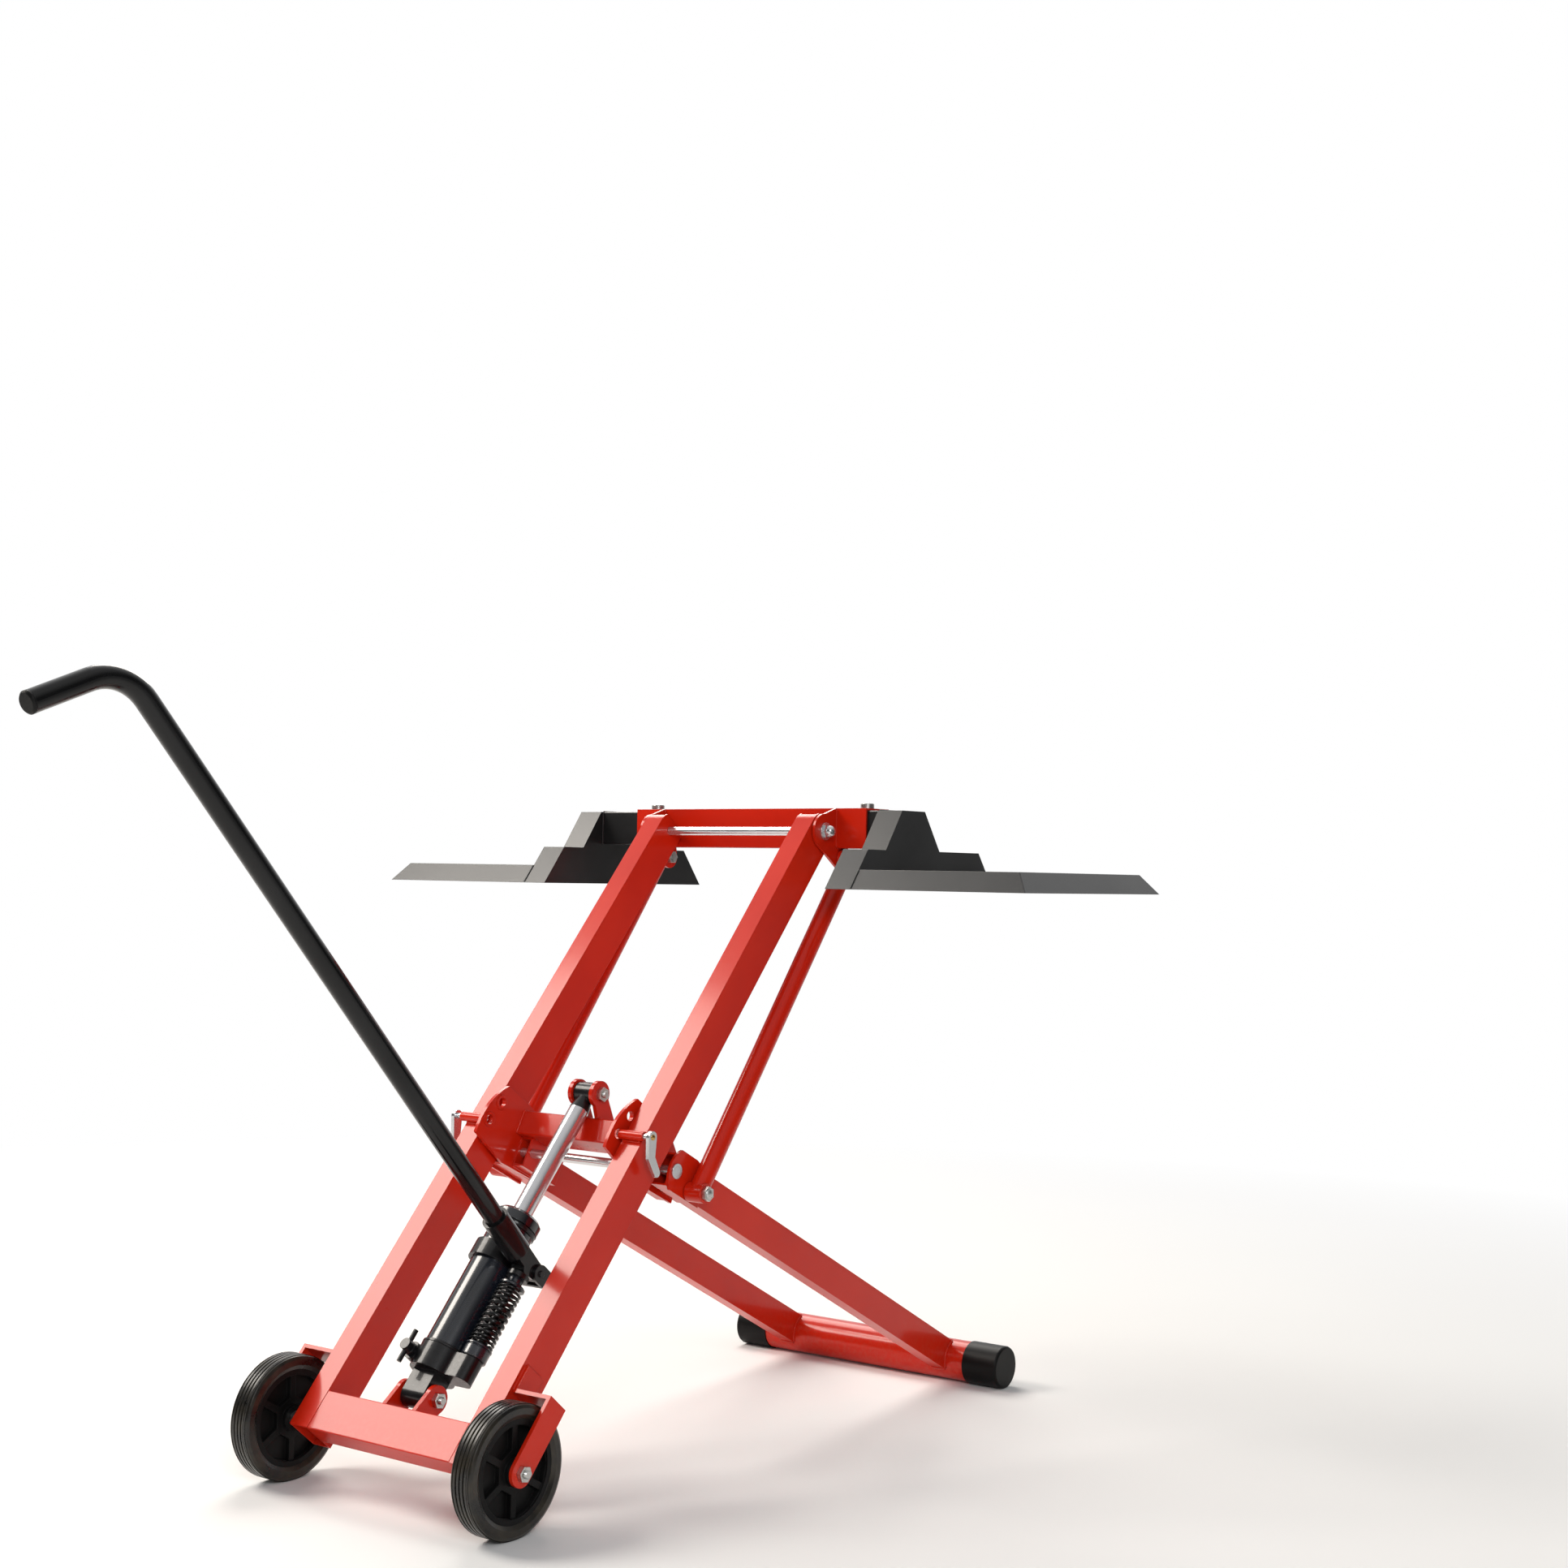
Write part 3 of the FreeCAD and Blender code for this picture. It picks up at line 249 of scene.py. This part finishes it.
def brass():
    p = Paint("rivet_brass", Metallic=1.0)
    haze = p.noise(220.0, 4.0, 0.6)
    base = p.shades(haze, (0.50, 0.30, 0.10), (0.72, 0.48, 0.18), high=0.7)
    rough = p.sheen(haze, 0.22, 0.38)
    return p.finish(base, rough, haze, strength=0.05, distance=0.0002, radius=0.0006)


def rubber():
    p = Paint("wheel_rubber", IOR=1.5)
    dust_and_painted_sheen = p.noise(26.0, 5.0, 0.62)
    grain = p.noise(700.0, 3.0, 0.6)
    # The lighter, warm brown shade is partly tread dust and partly a painted highlight: its tint
    # stands in for the sheen on the tread.
    base = p.shades(dust_and_painted_sheen, (0.005, 0.0046, 0.004), (0.034, 0.027, 0.016), 0.40, 0.68)
    rough = p.sheen(dust_and_painted_sheen, 0.24, 0.38)
    return p.finish(base, rough, grain + dust_and_painted_sheen * 0.6, strength=0.14, distance=0.0004,
                    radius=0.0009)


def moulded():
    p = Paint("moulded_black", IOR=1.48, Specular_IOR_Level=0.14)
    grain = p.noise(900.0, 3.0, 0.55)
    broad = p.noise(16.0, 3.0)
    base = p.shades(broad, (0.004, 0.004, 0.004), (0.009, 0.009, 0.009))
    rough = p.sheen(grain, 0.34, 0.46)
    return p.finish(base, rough, grain, strength=0.12, distance=0.0003, radius=0.0012)


FINISH = {"red": red_enamel(), "black": black_enamel(), "cast": cast_black(), "chrome": chrome(),
          "zinc": zinc(), "rubber": rubber(), "plastic": moulded(), "brass": brass(),
          "gloss": gloss_black(), "tray": tray_powder()}

# Every node is red, apart from these.
NODES_WITH = {
    "tray": [name for name in nodes if name.startswith("tray_")],
    "black": ["handle", "handle_socket"],
    "gloss": ["reservoir_tube", "cylinder_head", "pump_spring"],
    "cast": ["jack_base", "socket_bracket", "pump_barrel", "release_valve", "ram_eye",
             "pump_piston"],
    "chrome": ["pivot_shaft", "top_shaft", "ram_rod", "lock_pin_left", "lock_pin_right"],
    "zinc": ["frame_bolts", "ram_bolt", "link_bolts_lower", "link_bolts_upper", "clamp_bolts",
             "axle_spacers"],
    "plastic": ["foot_caps", "handle_plug", "wheel_rim_left", "wheel_rim_right"],
    "rubber": ["wheel_tyre_left", "wheel_tyre_right"],
}
finish_of_node = dict.fromkeys(nodes, "red")
for finish, names in NODES_WITH.items():
    finish_of_node.update(dict.fromkeys(names, finish))

for name, obj in nodes.items():
    for spot in obj.material_slots:
        spot.link = "OBJECT"
        spot.material = FINISH[finish_of_node[name]]


# ---------- making, shading and showing a piece ----------

def linked(name, data):
    """A new object in the scene."""
    obj = bpy.data.objects.new(name, data)
    bpy.context.scene.collection.objects.link(obj)
    return obj


def shown(obj, body, finish):
    """Gives an object one finish and lets it move with a body."""
    obj.data.materials.clear()
    obj.data.materials.append(FINISH[finish])
    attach(obj, body)


def applied(obj):
    """Gives an object the mesh that its modifiers make of it."""
    graph = bpy.context.evaluated_depsgraph_get()
    made = bpy.data.meshes.new_from_object(obj.evaluated_get(graph))
    obj.modifiers.clear()
    obj.data = made


def smoothed(mesh, sharp=None):
    """Shades every face smooth, but leaves edges sharper than an angle in degrees."""
    for face in mesh.polygons:
        face.use_smooth = True
    if sharp:
        mesh.set_sharp_from_angle(angle=math.radians(sharp))


def outward(mesh):
    """Turns the faces of a closed mesh to its outside."""
    work = bmesh.new()
    work.from_mesh(mesh)
    bmesh.ops.recalc_face_normals(work, faces=work.faces)
    work.to_mesh(mesh)
    work.free()


def stitched(faces, base, rings, around):
    """Joins rings of points, which start at base, into a closed skin."""
    for first in range(base, base + (rings - 1) * around, around):
        for k in range(around):
            a, b = first + k, first + (k + 1) % around
            faces.append((a, b, b + around, a + around))
    last = base + (rings - 1) * around
    faces.append(tuple(range(base, base + around)))
    faces.append(tuple(range(last, last + around)))


def piece(name, body, finish, verts, faces, sharp=None):
    """A closed mesh of the scene's own, shown on a body."""
    mesh = bpy.data.meshes.new(name)
    mesh.from_pydata(verts, [], faces)
    outward(mesh)
    smoothed(mesh, sharp)
    shown(linked(name, mesh), body, finish)


# ---------- edges: box tubes get their real rounded corners ----------

MERGE = 2e-6                          # metres
FLAT, CORNER, SHARP = 0.6, 50, 35     # degrees: dissolved, rounded, and shaded as an edge
CORNER_STEPS = 3
FACE_WEIGHT = 90


def eased(node, width):
    """A copy of a node, merged and with its sharp edges rounded, stands for it."""
    mesh = nodes[node].data.copy()
    work = bmesh.new()
    work.from_mesh(mesh)
    bmesh.ops.remove_doubles(work, verts=work.verts, dist=MERGE)
    bmesh.ops.dissolve_limit(work, angle_limit=math.radians(FLAT), verts=work.verts,
                             edges=work.edges, use_dissolve_boundaries=False)
    work.to_mesh(mesh)
    work.free()
    smoothed(mesh, SHARP)
    obj = linked(node + "_eased", mesh)
    bevel = obj.modifiers.new("corners", "BEVEL")
    bevel.width = width * MM
    bevel.segments = CORNER_STEPS
    bevel.limit_method = "ANGLE"
    bevel.angle_limit = math.radians(CORNER)
    bevel.use_clamp_overlap = True
    bevel.harden_normals = True
    even = obj.modifiers.new("flats", "WEIGHTED_NORMAL")
    even.weight = FACE_WEIGHT
    even.keep_sharp = True
    applied(obj)
    shown(obj, body_of_node[node], finish_of_node[node])
    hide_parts(node)


for node, width in (("rail_left", 2.4), ("rail_right", 2.4), ("cross_member", 2.2),
                    ("head_beam", 2.6), ("crossbar", 2.4), ("tray_arm_left", 2.2),
                    ("tray_arm_right", 2.2), ("leg_left", 2.2), ("leg_right", 2.2)):
    eased(node, width)


# ---------- local frames, the same ones that the source's pieces were drawn in ----------

class Bench:
    """Places a point given across, along and above one member, in millimetres."""

    def __init__(self, start, along):
        self.start = Vector((ORIGIN.x, start.y, start.z))
        self.along = along.normalized()
        self.above = ACROSS.cross(self.along)

    def __call__(self, x, u, v):
        return self.start + (ACROSS * x + self.along * u + self.above * v) * MM


ear_u = 62                            # the jack's foot bolt, along the rails
leg_fall = math.radians(27.19)
top = joint_place("head_tilt")
ear = joint_place("jack_swing")
rail_run = Vector((0, top.y - ear.y, top.z - ear.z)).normalized()
on_rail = Bench(ear - rail_run * (ear_u * MM), rail_run)
on_leg = Bench(joint_place("lift"), Vector((0, math.cos(leg_fall), -math.sin(leg_fall))))
on_head = Bench(top, Vector((0, 1, 0)))
on_jack = Bench(ear, joint_place("ram_swing") - ear)


# ---------- return spring: one wire on a helix ------------------------------------------

POINTS_PER_TURN, WIRE_SIDES = 28, 10
END_SHIFT = 0.65                      # of the pitch: how far coils crowd to the nearer end


def coil_tree():
    """Geometry nodes for a spring that stands on its origin, and their inputs."""
    tree = bpy.data.node_groups.new("coil_spring", "GeometryNodeTree")
    inputs = {}
    for label, kind in (("Length", "Float"), ("Turns", "Float"), ("Radius", "Float"),
                        ("Wire", "Float"), ("Finish", "Material")):
        made = tree.interface.new_socket(label, in_out="INPUT", socket_type="NodeSocket" + kind)
        inputs[label] = made.identifier
    tree.interface.new_socket("Spring", in_out="OUTPUT", socket_type="NodeSocketGeometry")
    start = tree.nodes.new("NodeGroupInput")
    helix = tree.nodes.new("GeometryNodeCurveSpiral")
    helix.inputs["Resolution"].default_value = POINTS_PER_TURN
    circle = tree.nodes.new("GeometryNodeCurvePrimitiveCircle")
    circle.inputs["Resolution"].default_value = WIRE_SIDES
    sweep = tree.nodes.new("GeometryNodeCurveToMesh")
    sweep.inputs["Fill Caps"].default_value = True
    smooth = tree.nodes.new("GeometryNodeSetShadeSmooth")
    real = tree.nodes.new("GeometryNodeRealizeInstances")
    dress = tree.nodes.new("GeometryNodeSetMaterial")
    end = tree.nodes.new("NodeGroupOutput")
    for source, out, target, into in (
            (start, "Length", helix, "Height"), (start, "Turns", helix, "Rotations"),
            (start, "Radius", helix, "Start Radius"), (start, "Radius", helix, "End Radius"),
            (start, "Wire", circle, "Radius"), (helix, "Curve", sweep, "Curve"),
            (circle, "Curve", sweep, "Profile Curve"), (sweep, "Mesh", smooth, "Geometry"),
            (smooth, 0, real, "Geometry"), (real, 0, dress, "Geometry"),
            (start, "Finish", dress, "Material"), (dress, 0, end, "Spring")):
        tree.links.new(source.outputs[out], target.inputs[into])
    return tree, inputs


def coil_piece(name, low, high, turns, radius, wire, finish):
    """A coil between two heights on the pump, its end turns lying nearly flat."""
    tree, inputs = coil_tree()
    obj = linked(name, bpy.data.meshes.new(name))
    grow = obj.modifiers.new("coil", "NODES")
    grow.node_group = tree
    for label, value in (("Length", (high - low) * MM), ("Turns", turns), ("Radius", radius * MM),
                         ("Wire", wire * MM), ("Finish", FINISH[finish])):
        grow[inputs[label]] = value
    applied(obj)
    for vertex in obj.data.vertices:
        x, y, z = vertex.co / MM
        share = z / (high - low)
        share -= math.sin(2 * math.pi * min(1.0, max(0.0, share))) * END_SHIFT / turns
        vertex.co = on_jack(pump_x + x, low + share * (high - low), pump_v + y)
    outward(obj.data)
    return obj


pump_x, pump_v = 45.5, -2.0
spring_low, spring_high = 78.0, 154.0
spring = coil_piece("return_spring", spring_low, spring_high, turns=12, radius=14.2, wire=2.1,
                    finish="black")
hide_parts("pump_spring")
tuple(on_jack(pump_x, spring_low, pump_v))
tuple(on_jack(pump_x, spring_high, pump_v))
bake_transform(spring)


# ---------- weld beads: rippled fillets where tubes and plates meet ----------

BEAD_SIDES = 7
RIPPLE = 1.7 * MM                     # from crest to crest
CREST, TROUGH, TIP = 1.1, 0.9, 0.45   # of the bead's radius


def bead(verts, faces, points, radius):
    """Adds one rippled bead along a run of points."""
    stations = []
    for a, b in zip(points, points[1:]):
        count = max(2, int((b - a).length / (RIPPLE * 0.5)))
        stations += [a.lerp(b, k / count) for k in range(count)]
    stations.append(points[-1])
    last = len(stations) - 1
    base = len(verts)
    for i, at in enumerate(stations):
        ahead = (stations[min(i + 1, last)] - stations[max(i - 1, 0)]).normalized()
        side = ahead.orthogonal().normalized()
        other = ahead.cross(side)
        swell = radius * (TIP if i in (0, last) else TROUGH if i % 2 else CREST)
        for k in range(BEAD_SIDES):
            a = 2 * math.pi * k / BEAD_SIDES
            verts.append(at + side * (math.cos(a) * swell) + other * (math.sin(a) * swell))
    stitched(faces, base, len(stations), BEAD_SIDES)


def beads(name, body, bench, runs, finish="red", radius=1.9 * MM):
    verts, faces = [], []
    for run in runs:
        bead(verts, faces, [bench(*point) for point in run], radius)
    piece(name, body, finish, verts, faces)


def straight(x, u, v):
    """A run along the axis whose place is given as a pair."""
    return list(zip(*(place if isinstance(place, tuple) else (place, place)
                      for place in (x, u, v))))


def one_side(side, run):
    """A run drawn on the right, there (side 1) or on the left (side -1)."""
    return [(side * x, u, v) for x, u, v in run]


def both_sides(runs):
    return [one_side(side, run) for run in runs for side in (1, -1)]


# How far a bead's middle stands off the faces that it joins, and stops short of their ends.
OFF, NEAR, SHORT = 0.4, 0.3, 1

rail_in, rail_out, rail_front = 119, 150, 25
# The cross member itself reaches back to -9, so the bead along its back edge lies inside it.
cross_low, cross_high, cross_back = -15, 35, -5
ear_in, ear_out, ear_front = 22, 28, 21
lug_low, lug_high, lug_top = 404, 464, 15
flange_low, flange_high, flange_back, flange_front = 83, 117, -12, 20
guide_u, guide_reach, guide_v = 430, 5.4, 25.8
beads("frame_welds", "frame", on_rail, both_sides([
    straight(rail_in - OFF, cross_high + OFF, (cross_back + SHORT, rail_front - SHORT)),
    straight(rail_in - OFF, (cross_low, cross_high), cross_back - OFF),
    straight(ear_out + OFF, cross_high + OFF, (cross_back + SHORT, ear_front)),
    straight(ear_in - OFF, cross_high + OFF, (cross_back + SHORT, ear_front)),
    straight(rail_in - NEAR, (lug_low + SHORT, lug_high - SHORT), lug_top + NEAR),
    straight(rail_out + OFF, flange_high + 1.2, (flange_back + SHORT, flange_front - SHORT)),
    straight(rail_out + OFF, (flange_low + 2, flange_high - SHORT), flange_front + OFF),
    straight(rail_out + OFF, (flange_low + 2, flange_high - SHORT), flange_back - OFF),
    straight((rail_in + SHORT, rail_out - SHORT), guide_u - guide_reach, guide_v),
    straight((rail_in + SHORT, rail_out - SHORT), guide_u + guide_reach, guide_v)]))

leg_in, leg_out, leg_half, leg_long = 126, 151, 21.5, 747
foot_weld_r = 29.6


def foot_seat(v):
    """Where the leg's end meets the round foot tube."""
    return leg_long - math.sqrt(foot_weld_r ** 2 - v * v)


foot_runs = [[(leg_in + (leg_out - leg_in) * k / 8, foot_seat(leg_half), v) for k in range(9)]
             for v in (-leg_half - 0.1, leg_half + 0.1)]
foot_runs += [[(x, foot_seat(v), v) for v in (3 * k - 21 for k in range(15))]
              for x in (leg_in - NEAR, leg_out + NEAR)]

plate_in = 108
bar_low, bar_high, bar_back, bar_front = -22, 20, 18, 50
ram_ear_in, ram_ear_out = 15, 21
housing_run, cheek_run = (-9, 60), (2, 60)
beads("leg_welds", "legs", on_leg, both_sides(foot_runs + [
    straight(plate_in - OFF, bar_low - OFF, (bar_back, bar_front)),
    straight(plate_in - OFF, (bar_low, bar_high), bar_front + OFF),
    straight(plate_in - OFF, bar_high + OFF, (bar_back, bar_front)),
    straight(plate_in - OFF, housing_run, -leg_half - NEAR),
    straight(ram_ear_out + OFF, (bar_low + SHORT, bar_high - SHORT), bar_front + OFF),
    straight(ram_ear_in - OFF, (bar_low + SHORT, bar_high - SHORT), bar_front + OFF),
    straight(leg_out + OFF, cheek_run, leg_half + NEAR)]))

head_plate_in, head_plate_out = 151.5, 155.5
beam_front, beam_low, beam_high = 26.5, -22.5, 32.5
beads("head_welds", "head", on_head, both_sides([
    straight(head_plate_out + NEAR, beam_front - NEAR, (beam_low + 1.5, beam_high - 1.5)),
    straight(head_plate_in - NEAR, beam_front - NEAR, (beam_low + 1.5, beam_high - 1.5)),
    straight(head_plate_out + NEAR, (28, 54), beam_low - NEAR)]))

arm_front, arm_rear, arm_low, arm_high, arm_off = 30, 78, -19, 29, 0.2
bracket_wide = 40
front_slant = (-94, -77), (-75, -52.4)    # along and above, at the tray's foot and at its step
rear_slant = (261, -77), (242, -52.4)
for tag, side, bracket_in in (("right", 1, 225), ("left", -1, 275)):
    inner, outer = bracket_in - OFF, bracket_in + bracket_wide + OFF
    runs = [straight(inner, (arm_front, arm_rear), arm_high + arm_off),
            straight(inner, arm_front - arm_off, (arm_low, arm_high))]
    runs += [[(outer, u, v) for u, v in slant] for slant in (front_slant, rear_slant)]
    beads("tray_welds_" + tag, "tray_" + tag, on_head, [one_side(side, run) for run in runs],
          "tray", 1.5 * MM)


# ---------- turned details, each from a profile of (place along the axis, radius) ----------

COARSE, FINE = 32, 48                 # points round a detail


def hexagon(turn):
    """How far a hexagon reaches at an angle, as a share of its corners' radius."""
    half = math.pi / 6
    return math.cos(half) / math.cos((turn + half) % (2 * half) - half)


def turned_mesh(verts, faces, bench, centre, axis, profile, around=COARSE, six=False):
    """Adds one turned detail: x, u or v is its axis, and six makes it a hexagon."""
    base = len(verts)
    x, u, v = centre
    for at, r in profile:
        for k in range(around):
            a = 2 * math.pi * k / around
            reach = r * hexagon(a) if six else r
            c, s = reach * math.cos(a), reach * math.sin(a)
            dx, du, dv = {"x": (at, c, s), "u": (c, at, s), "v": (c, s, at)}[axis]
            verts.append(bench(x + dx, u + du, v + dv))
    stitched(faces, base, len(profile), around)


def turned_pieces(name, body, finish, bench, rows, sharp=32):
    verts, faces = [], []
    for row in rows:
        turned_mesh(verts, faces, bench, *row)
    piece(name, body, finish, verts, faces, sharp)


def threaded(length, r, pitch=1.25, depth=0.55, chamfer=0.9):
    """The profile of a threaded stub that ends in a small chamfer."""
    rows, at = [(0, r)], 0.0
    while at < length - pitch:
        rows += [(at + pitch * 0.5, r - depth), (at + pitch, r)]
        at += pitch
    return rows + [(length, r - chamfer)]


def flipped(profile):
    return [(-at, r) for at, r in profile]


def outer_ends(place, profile):
    """The same profile on a member's right and left, facing away from its middle."""
    x, u, v = place
    return [((x, u, v), "x", profile), ((-x, u, v), "x", flipped(profile))]


stub = threaded(3.6, 4.6)
dome = [(0, 6.6), (0.8, 6.6), (2.0, 5.4), (2.8, 3.2), (3.1, 0.6)]
button = [(0, 8.6), (0.8, 8.2), (1.4, 6.0), (1.6, 0.5)]
rivet = [(0, 3.6), (0.7, 3.6), (1.5, 2.7), (1.9, 1.2), (2.0, 0.2)]
collar = [(0, 7.6), (0.6, 8.4), (4.4, 8.4), (5.0, 7.6)]

# Where the bolts end on the right: across, along and above.
ear_bolt, axle_end, ram_bolt = (34.5, ear_u, 0), (214, 0, 4), (27.5, -32, 79)
low_link_bolt, high_link_bolt, clamp_bolt = (188, 36.2, -12.7), (188, 40, -37), (188, 54, 39)
turned_pieces("bolt_ends_frame", "frame", "zinc", on_rail,
              outer_ends(ear_bolt, stub) + outer_ends(axle_end, stub))
turned_pieces("bolt_ends_legs", "legs", "zinc", on_leg,
              outer_ends(ram_bolt, stub) + outer_ends(low_link_bolt, dome))
turned_pieces("bolt_ends_head", "head", "zinc", on_head,
              outer_ends(high_link_bolt, dome)
              + [(place, "v", button) for (place,) in both_sides([[clamp_bolt]])])

# ---------- jack details: rolled rings, filler plug, spring seat and cap, valve collar ----------

tube_foot, tube_neck = (0, 58, 0), (0, 229, 0)
filler, valve = (0, 214, 27.4), (-24, 43, 27.5)
on_pump = (pump_x, 0, pump_v)
turned_pieces("jack_rings", "jack", "cast", on_jack, [
    (tube_foot, "u", [(0, 29.2), (0.6, 30.2), (3.4, 30.2), (4.6, 28.2)]),
    (tube_neck, "u", [(0, 28.2), (1.2, 29.6), (6.4, 29.6), (7.0, 28.6)])], sharp=50)
turned_pieces("filler_plug", "jack", "plastic", on_jack, [
    (filler, "v", [(0, 5.6), (1.2, 5.6), (2.6, 4.6), (3.2, 2.2), (3.3, 0.4)])])
turned_pieces("spring_seat", "jack", "gloss", on_jack, [
    (on_pump, "u", [(58.2, 15.8), (59.2, 16.6), (71.0, 16.6), (72.0, 15.6), (72.6, 15.6),
                    (73.4, 17.2), (75.0, 17.2), (75.8, 16.4)], FINE)])
turned_pieces("spring_cap", "piston", "gloss", on_jack, [
    (on_pump, "u", [(156.2, 15.4), (157.0, 16.6), (159.4, 16.6), (160.6, 15.2), (161.4, 10.6),
                    (163.0, 9.6), (170.2, 9.6)], FINE)])
turned_pieces("valve_collar", "valve", "cast", on_jack, [(valve, "v", collar, FINE, True)])

pin_lever = (169.5, guide_u, 31)
for row, tag in zip(outer_ends(pin_lever, rivet), ("right", "left")):
    turned_pieces("lever_rivet_" + tag, "pin_" + tag, "brass", on_rail, [row])


# ---------- camera: solved from the photograph, in its full-size pixels ----------

FRAME_PIXELS, FOCAL_PIXELS, SENSOR_MM = 1932.0, 2682.2, 36.0
YAW, PITCH, ROLL = (math.radians(angle) for angle in (36.84, 2.45, 1.03))
EYE = Vector((1.8918, -1.7875, 0.7400))


def camera_turn(yaw, pitch, roll):
    """Faces +Y at yaw 0; roll leans the picture about the line of sight."""
    ahead = Vector((-math.sin(yaw) * math.cos(pitch), math.cos(yaw) * math.cos(pitch),
                    math.sin(pitch)))
    right = Vector((math.cos(yaw), math.sin(yaw), 0))
    up = right.cross(ahead)
    across = right * math.cos(roll) + up * math.sin(roll)
    above = -right * math.sin(roll) + up * math.cos(roll)
    return Matrix((across, above, -ahead)).transposed()


lens = bpy.data.cameras.new("camera")
lens.sensor_width = SENSOR_MM
lens.lens = FOCAL_PIXELS * SENSOR_MM / FRAME_PIXELS
lens.clip_end = 200.0
camera = linked("camera", lens)
camera.matrix_world = (Matrix.Translation(ORIGIN + EYE)
                       @ camera_turn(YAW, PITCH, ROLL).to_4x4())
bpy.context.scene.camera = camera

# ---------- light: three soft lamps in a white studio ----------

for name, at, aim, size, power, colour in (
        ("key", (-2.9, -1.5, 3.5), (0, 0, 0.5), 2.1, 144, (1, 0.94, 0.86)),
        ("side", (3.0, -2.6, 2.2), (0, 0, 0.4), 1.6, 60, (0.98, 0.99, 1)),
        ("back", (-2.2, 2.2, 3.4), (0, 0.2, 0.6), 2.6, 105, (1, 0.95, 0.88))):
    light = bpy.data.lights.new(name, "AREA")
    light.shape = "DISK"
    light.size = size
    light.energy = power
    light.color = colour
    lamp = linked(name, light)
    lamp.location = at
    lamp.rotation_euler = (Vector(aim) - Vector(at)).to_track_quat("-Z", "Y").to_euler()

world = bpy.data.worlds.new("studio")
bpy.context.scene.world = world
world.use_nodes = True
world.node_tree.nodes.clear()
studio = Graph(world.node_tree)


def backdrop(strength):
    return studio.node("ShaderNodeBackground", None,
                       {"Color": (1, 1, 1, 1), "Strength": strength})


# Polished surfaces see a bright sweep behind the lift, a lit ceiling and a dim room in front.
BEHIND = (-0.58, 0.78, 0.22)
SEEN, AMBIENT = 1.0, 0.28             # the backdrop's strength to the camera and to the paint
way = studio.node("ShaderNodeTexCoord", out="Generated")
facing = studio.node("ShaderNodeVectorMath", {"operation": "DOT_PRODUCT"}, {0: way, 1: BEHIND},
                     out="Value")
upward = studio.node("ShaderNodeSeparateXYZ", None, {"Vector": way}, out="Z")
sweep = studio.ramp(facing, 0.35, 0.95, 0.06, 1.1)
ceiling = studio.ramp(upward, 0.40, 0.85, 0.0, 0.65)
glossy = studio.node("ShaderNodeLightPath", out="Is Glossy Ray")
to_camera = studio.node("ShaderNodeLightPath", out="Is Camera Ray")
bounced = studio.node("ShaderNodeMixShader", None,
                      {0: glossy, 1: backdrop(AMBIENT), 2: backdrop(sweep + ceiling)})
seen = studio.node("ShaderNodeMixShader", None, {0: to_camera, 1: bounced, 2: backdrop(SEEN)})
studio.link(seen, studio.tree.nodes.new("ShaderNodeOutputWorld").inputs["Surface"])

# ---------- floor: pale, and turning to plain white with distance ----------

REACH = 60.0
FADE_START, FADE_END = 1.2, 3.4       # metres from the middle
ground = bpy.data.meshes.new("floor")
ground.from_pydata([(-REACH, -REACH, 0), (REACH, -REACH, 0), (REACH, REACH, 0),
                    (-REACH, REACH, 0)], [], [(0, 1, 2, 3)])
floor = linked("floor", ground)
pale = Paint("pale_floor", Roughness=0.9)
tone = pale.shades(pale.noise(0.8, 2.0), (0.90, 0.90, 0.90), (0.94, 0.94, 0.935), 0.3, 0.7)
pale.link(tone, pale.shader.inputs["Base Color"])
away = pale.node("ShaderNodeVectorMath", {"operation": "LENGTH"}, {0: pale.place}, out="Value")
from_camera = pale.node("ShaderNodeLightPath", out="Is Camera Ray")
white = pale.node("ShaderNodeEmission", None, {"Color": (1, 1, 1, 1), "Strength": 1.0})
veil = pale.node("ShaderNodeMixShader", None,
                 {0: pale.ramp(away, FADE_START, FADE_END) * from_camera,
                  1: Wire(pale, pale.shader.outputs[0]), 2: white})
pale.link(veil, pale.found("OUTPUT_MATERIAL").inputs["Surface"])
ground.materials.append(pale.material)

bpy.context.scene.view_settings.view_transform = "Standard"
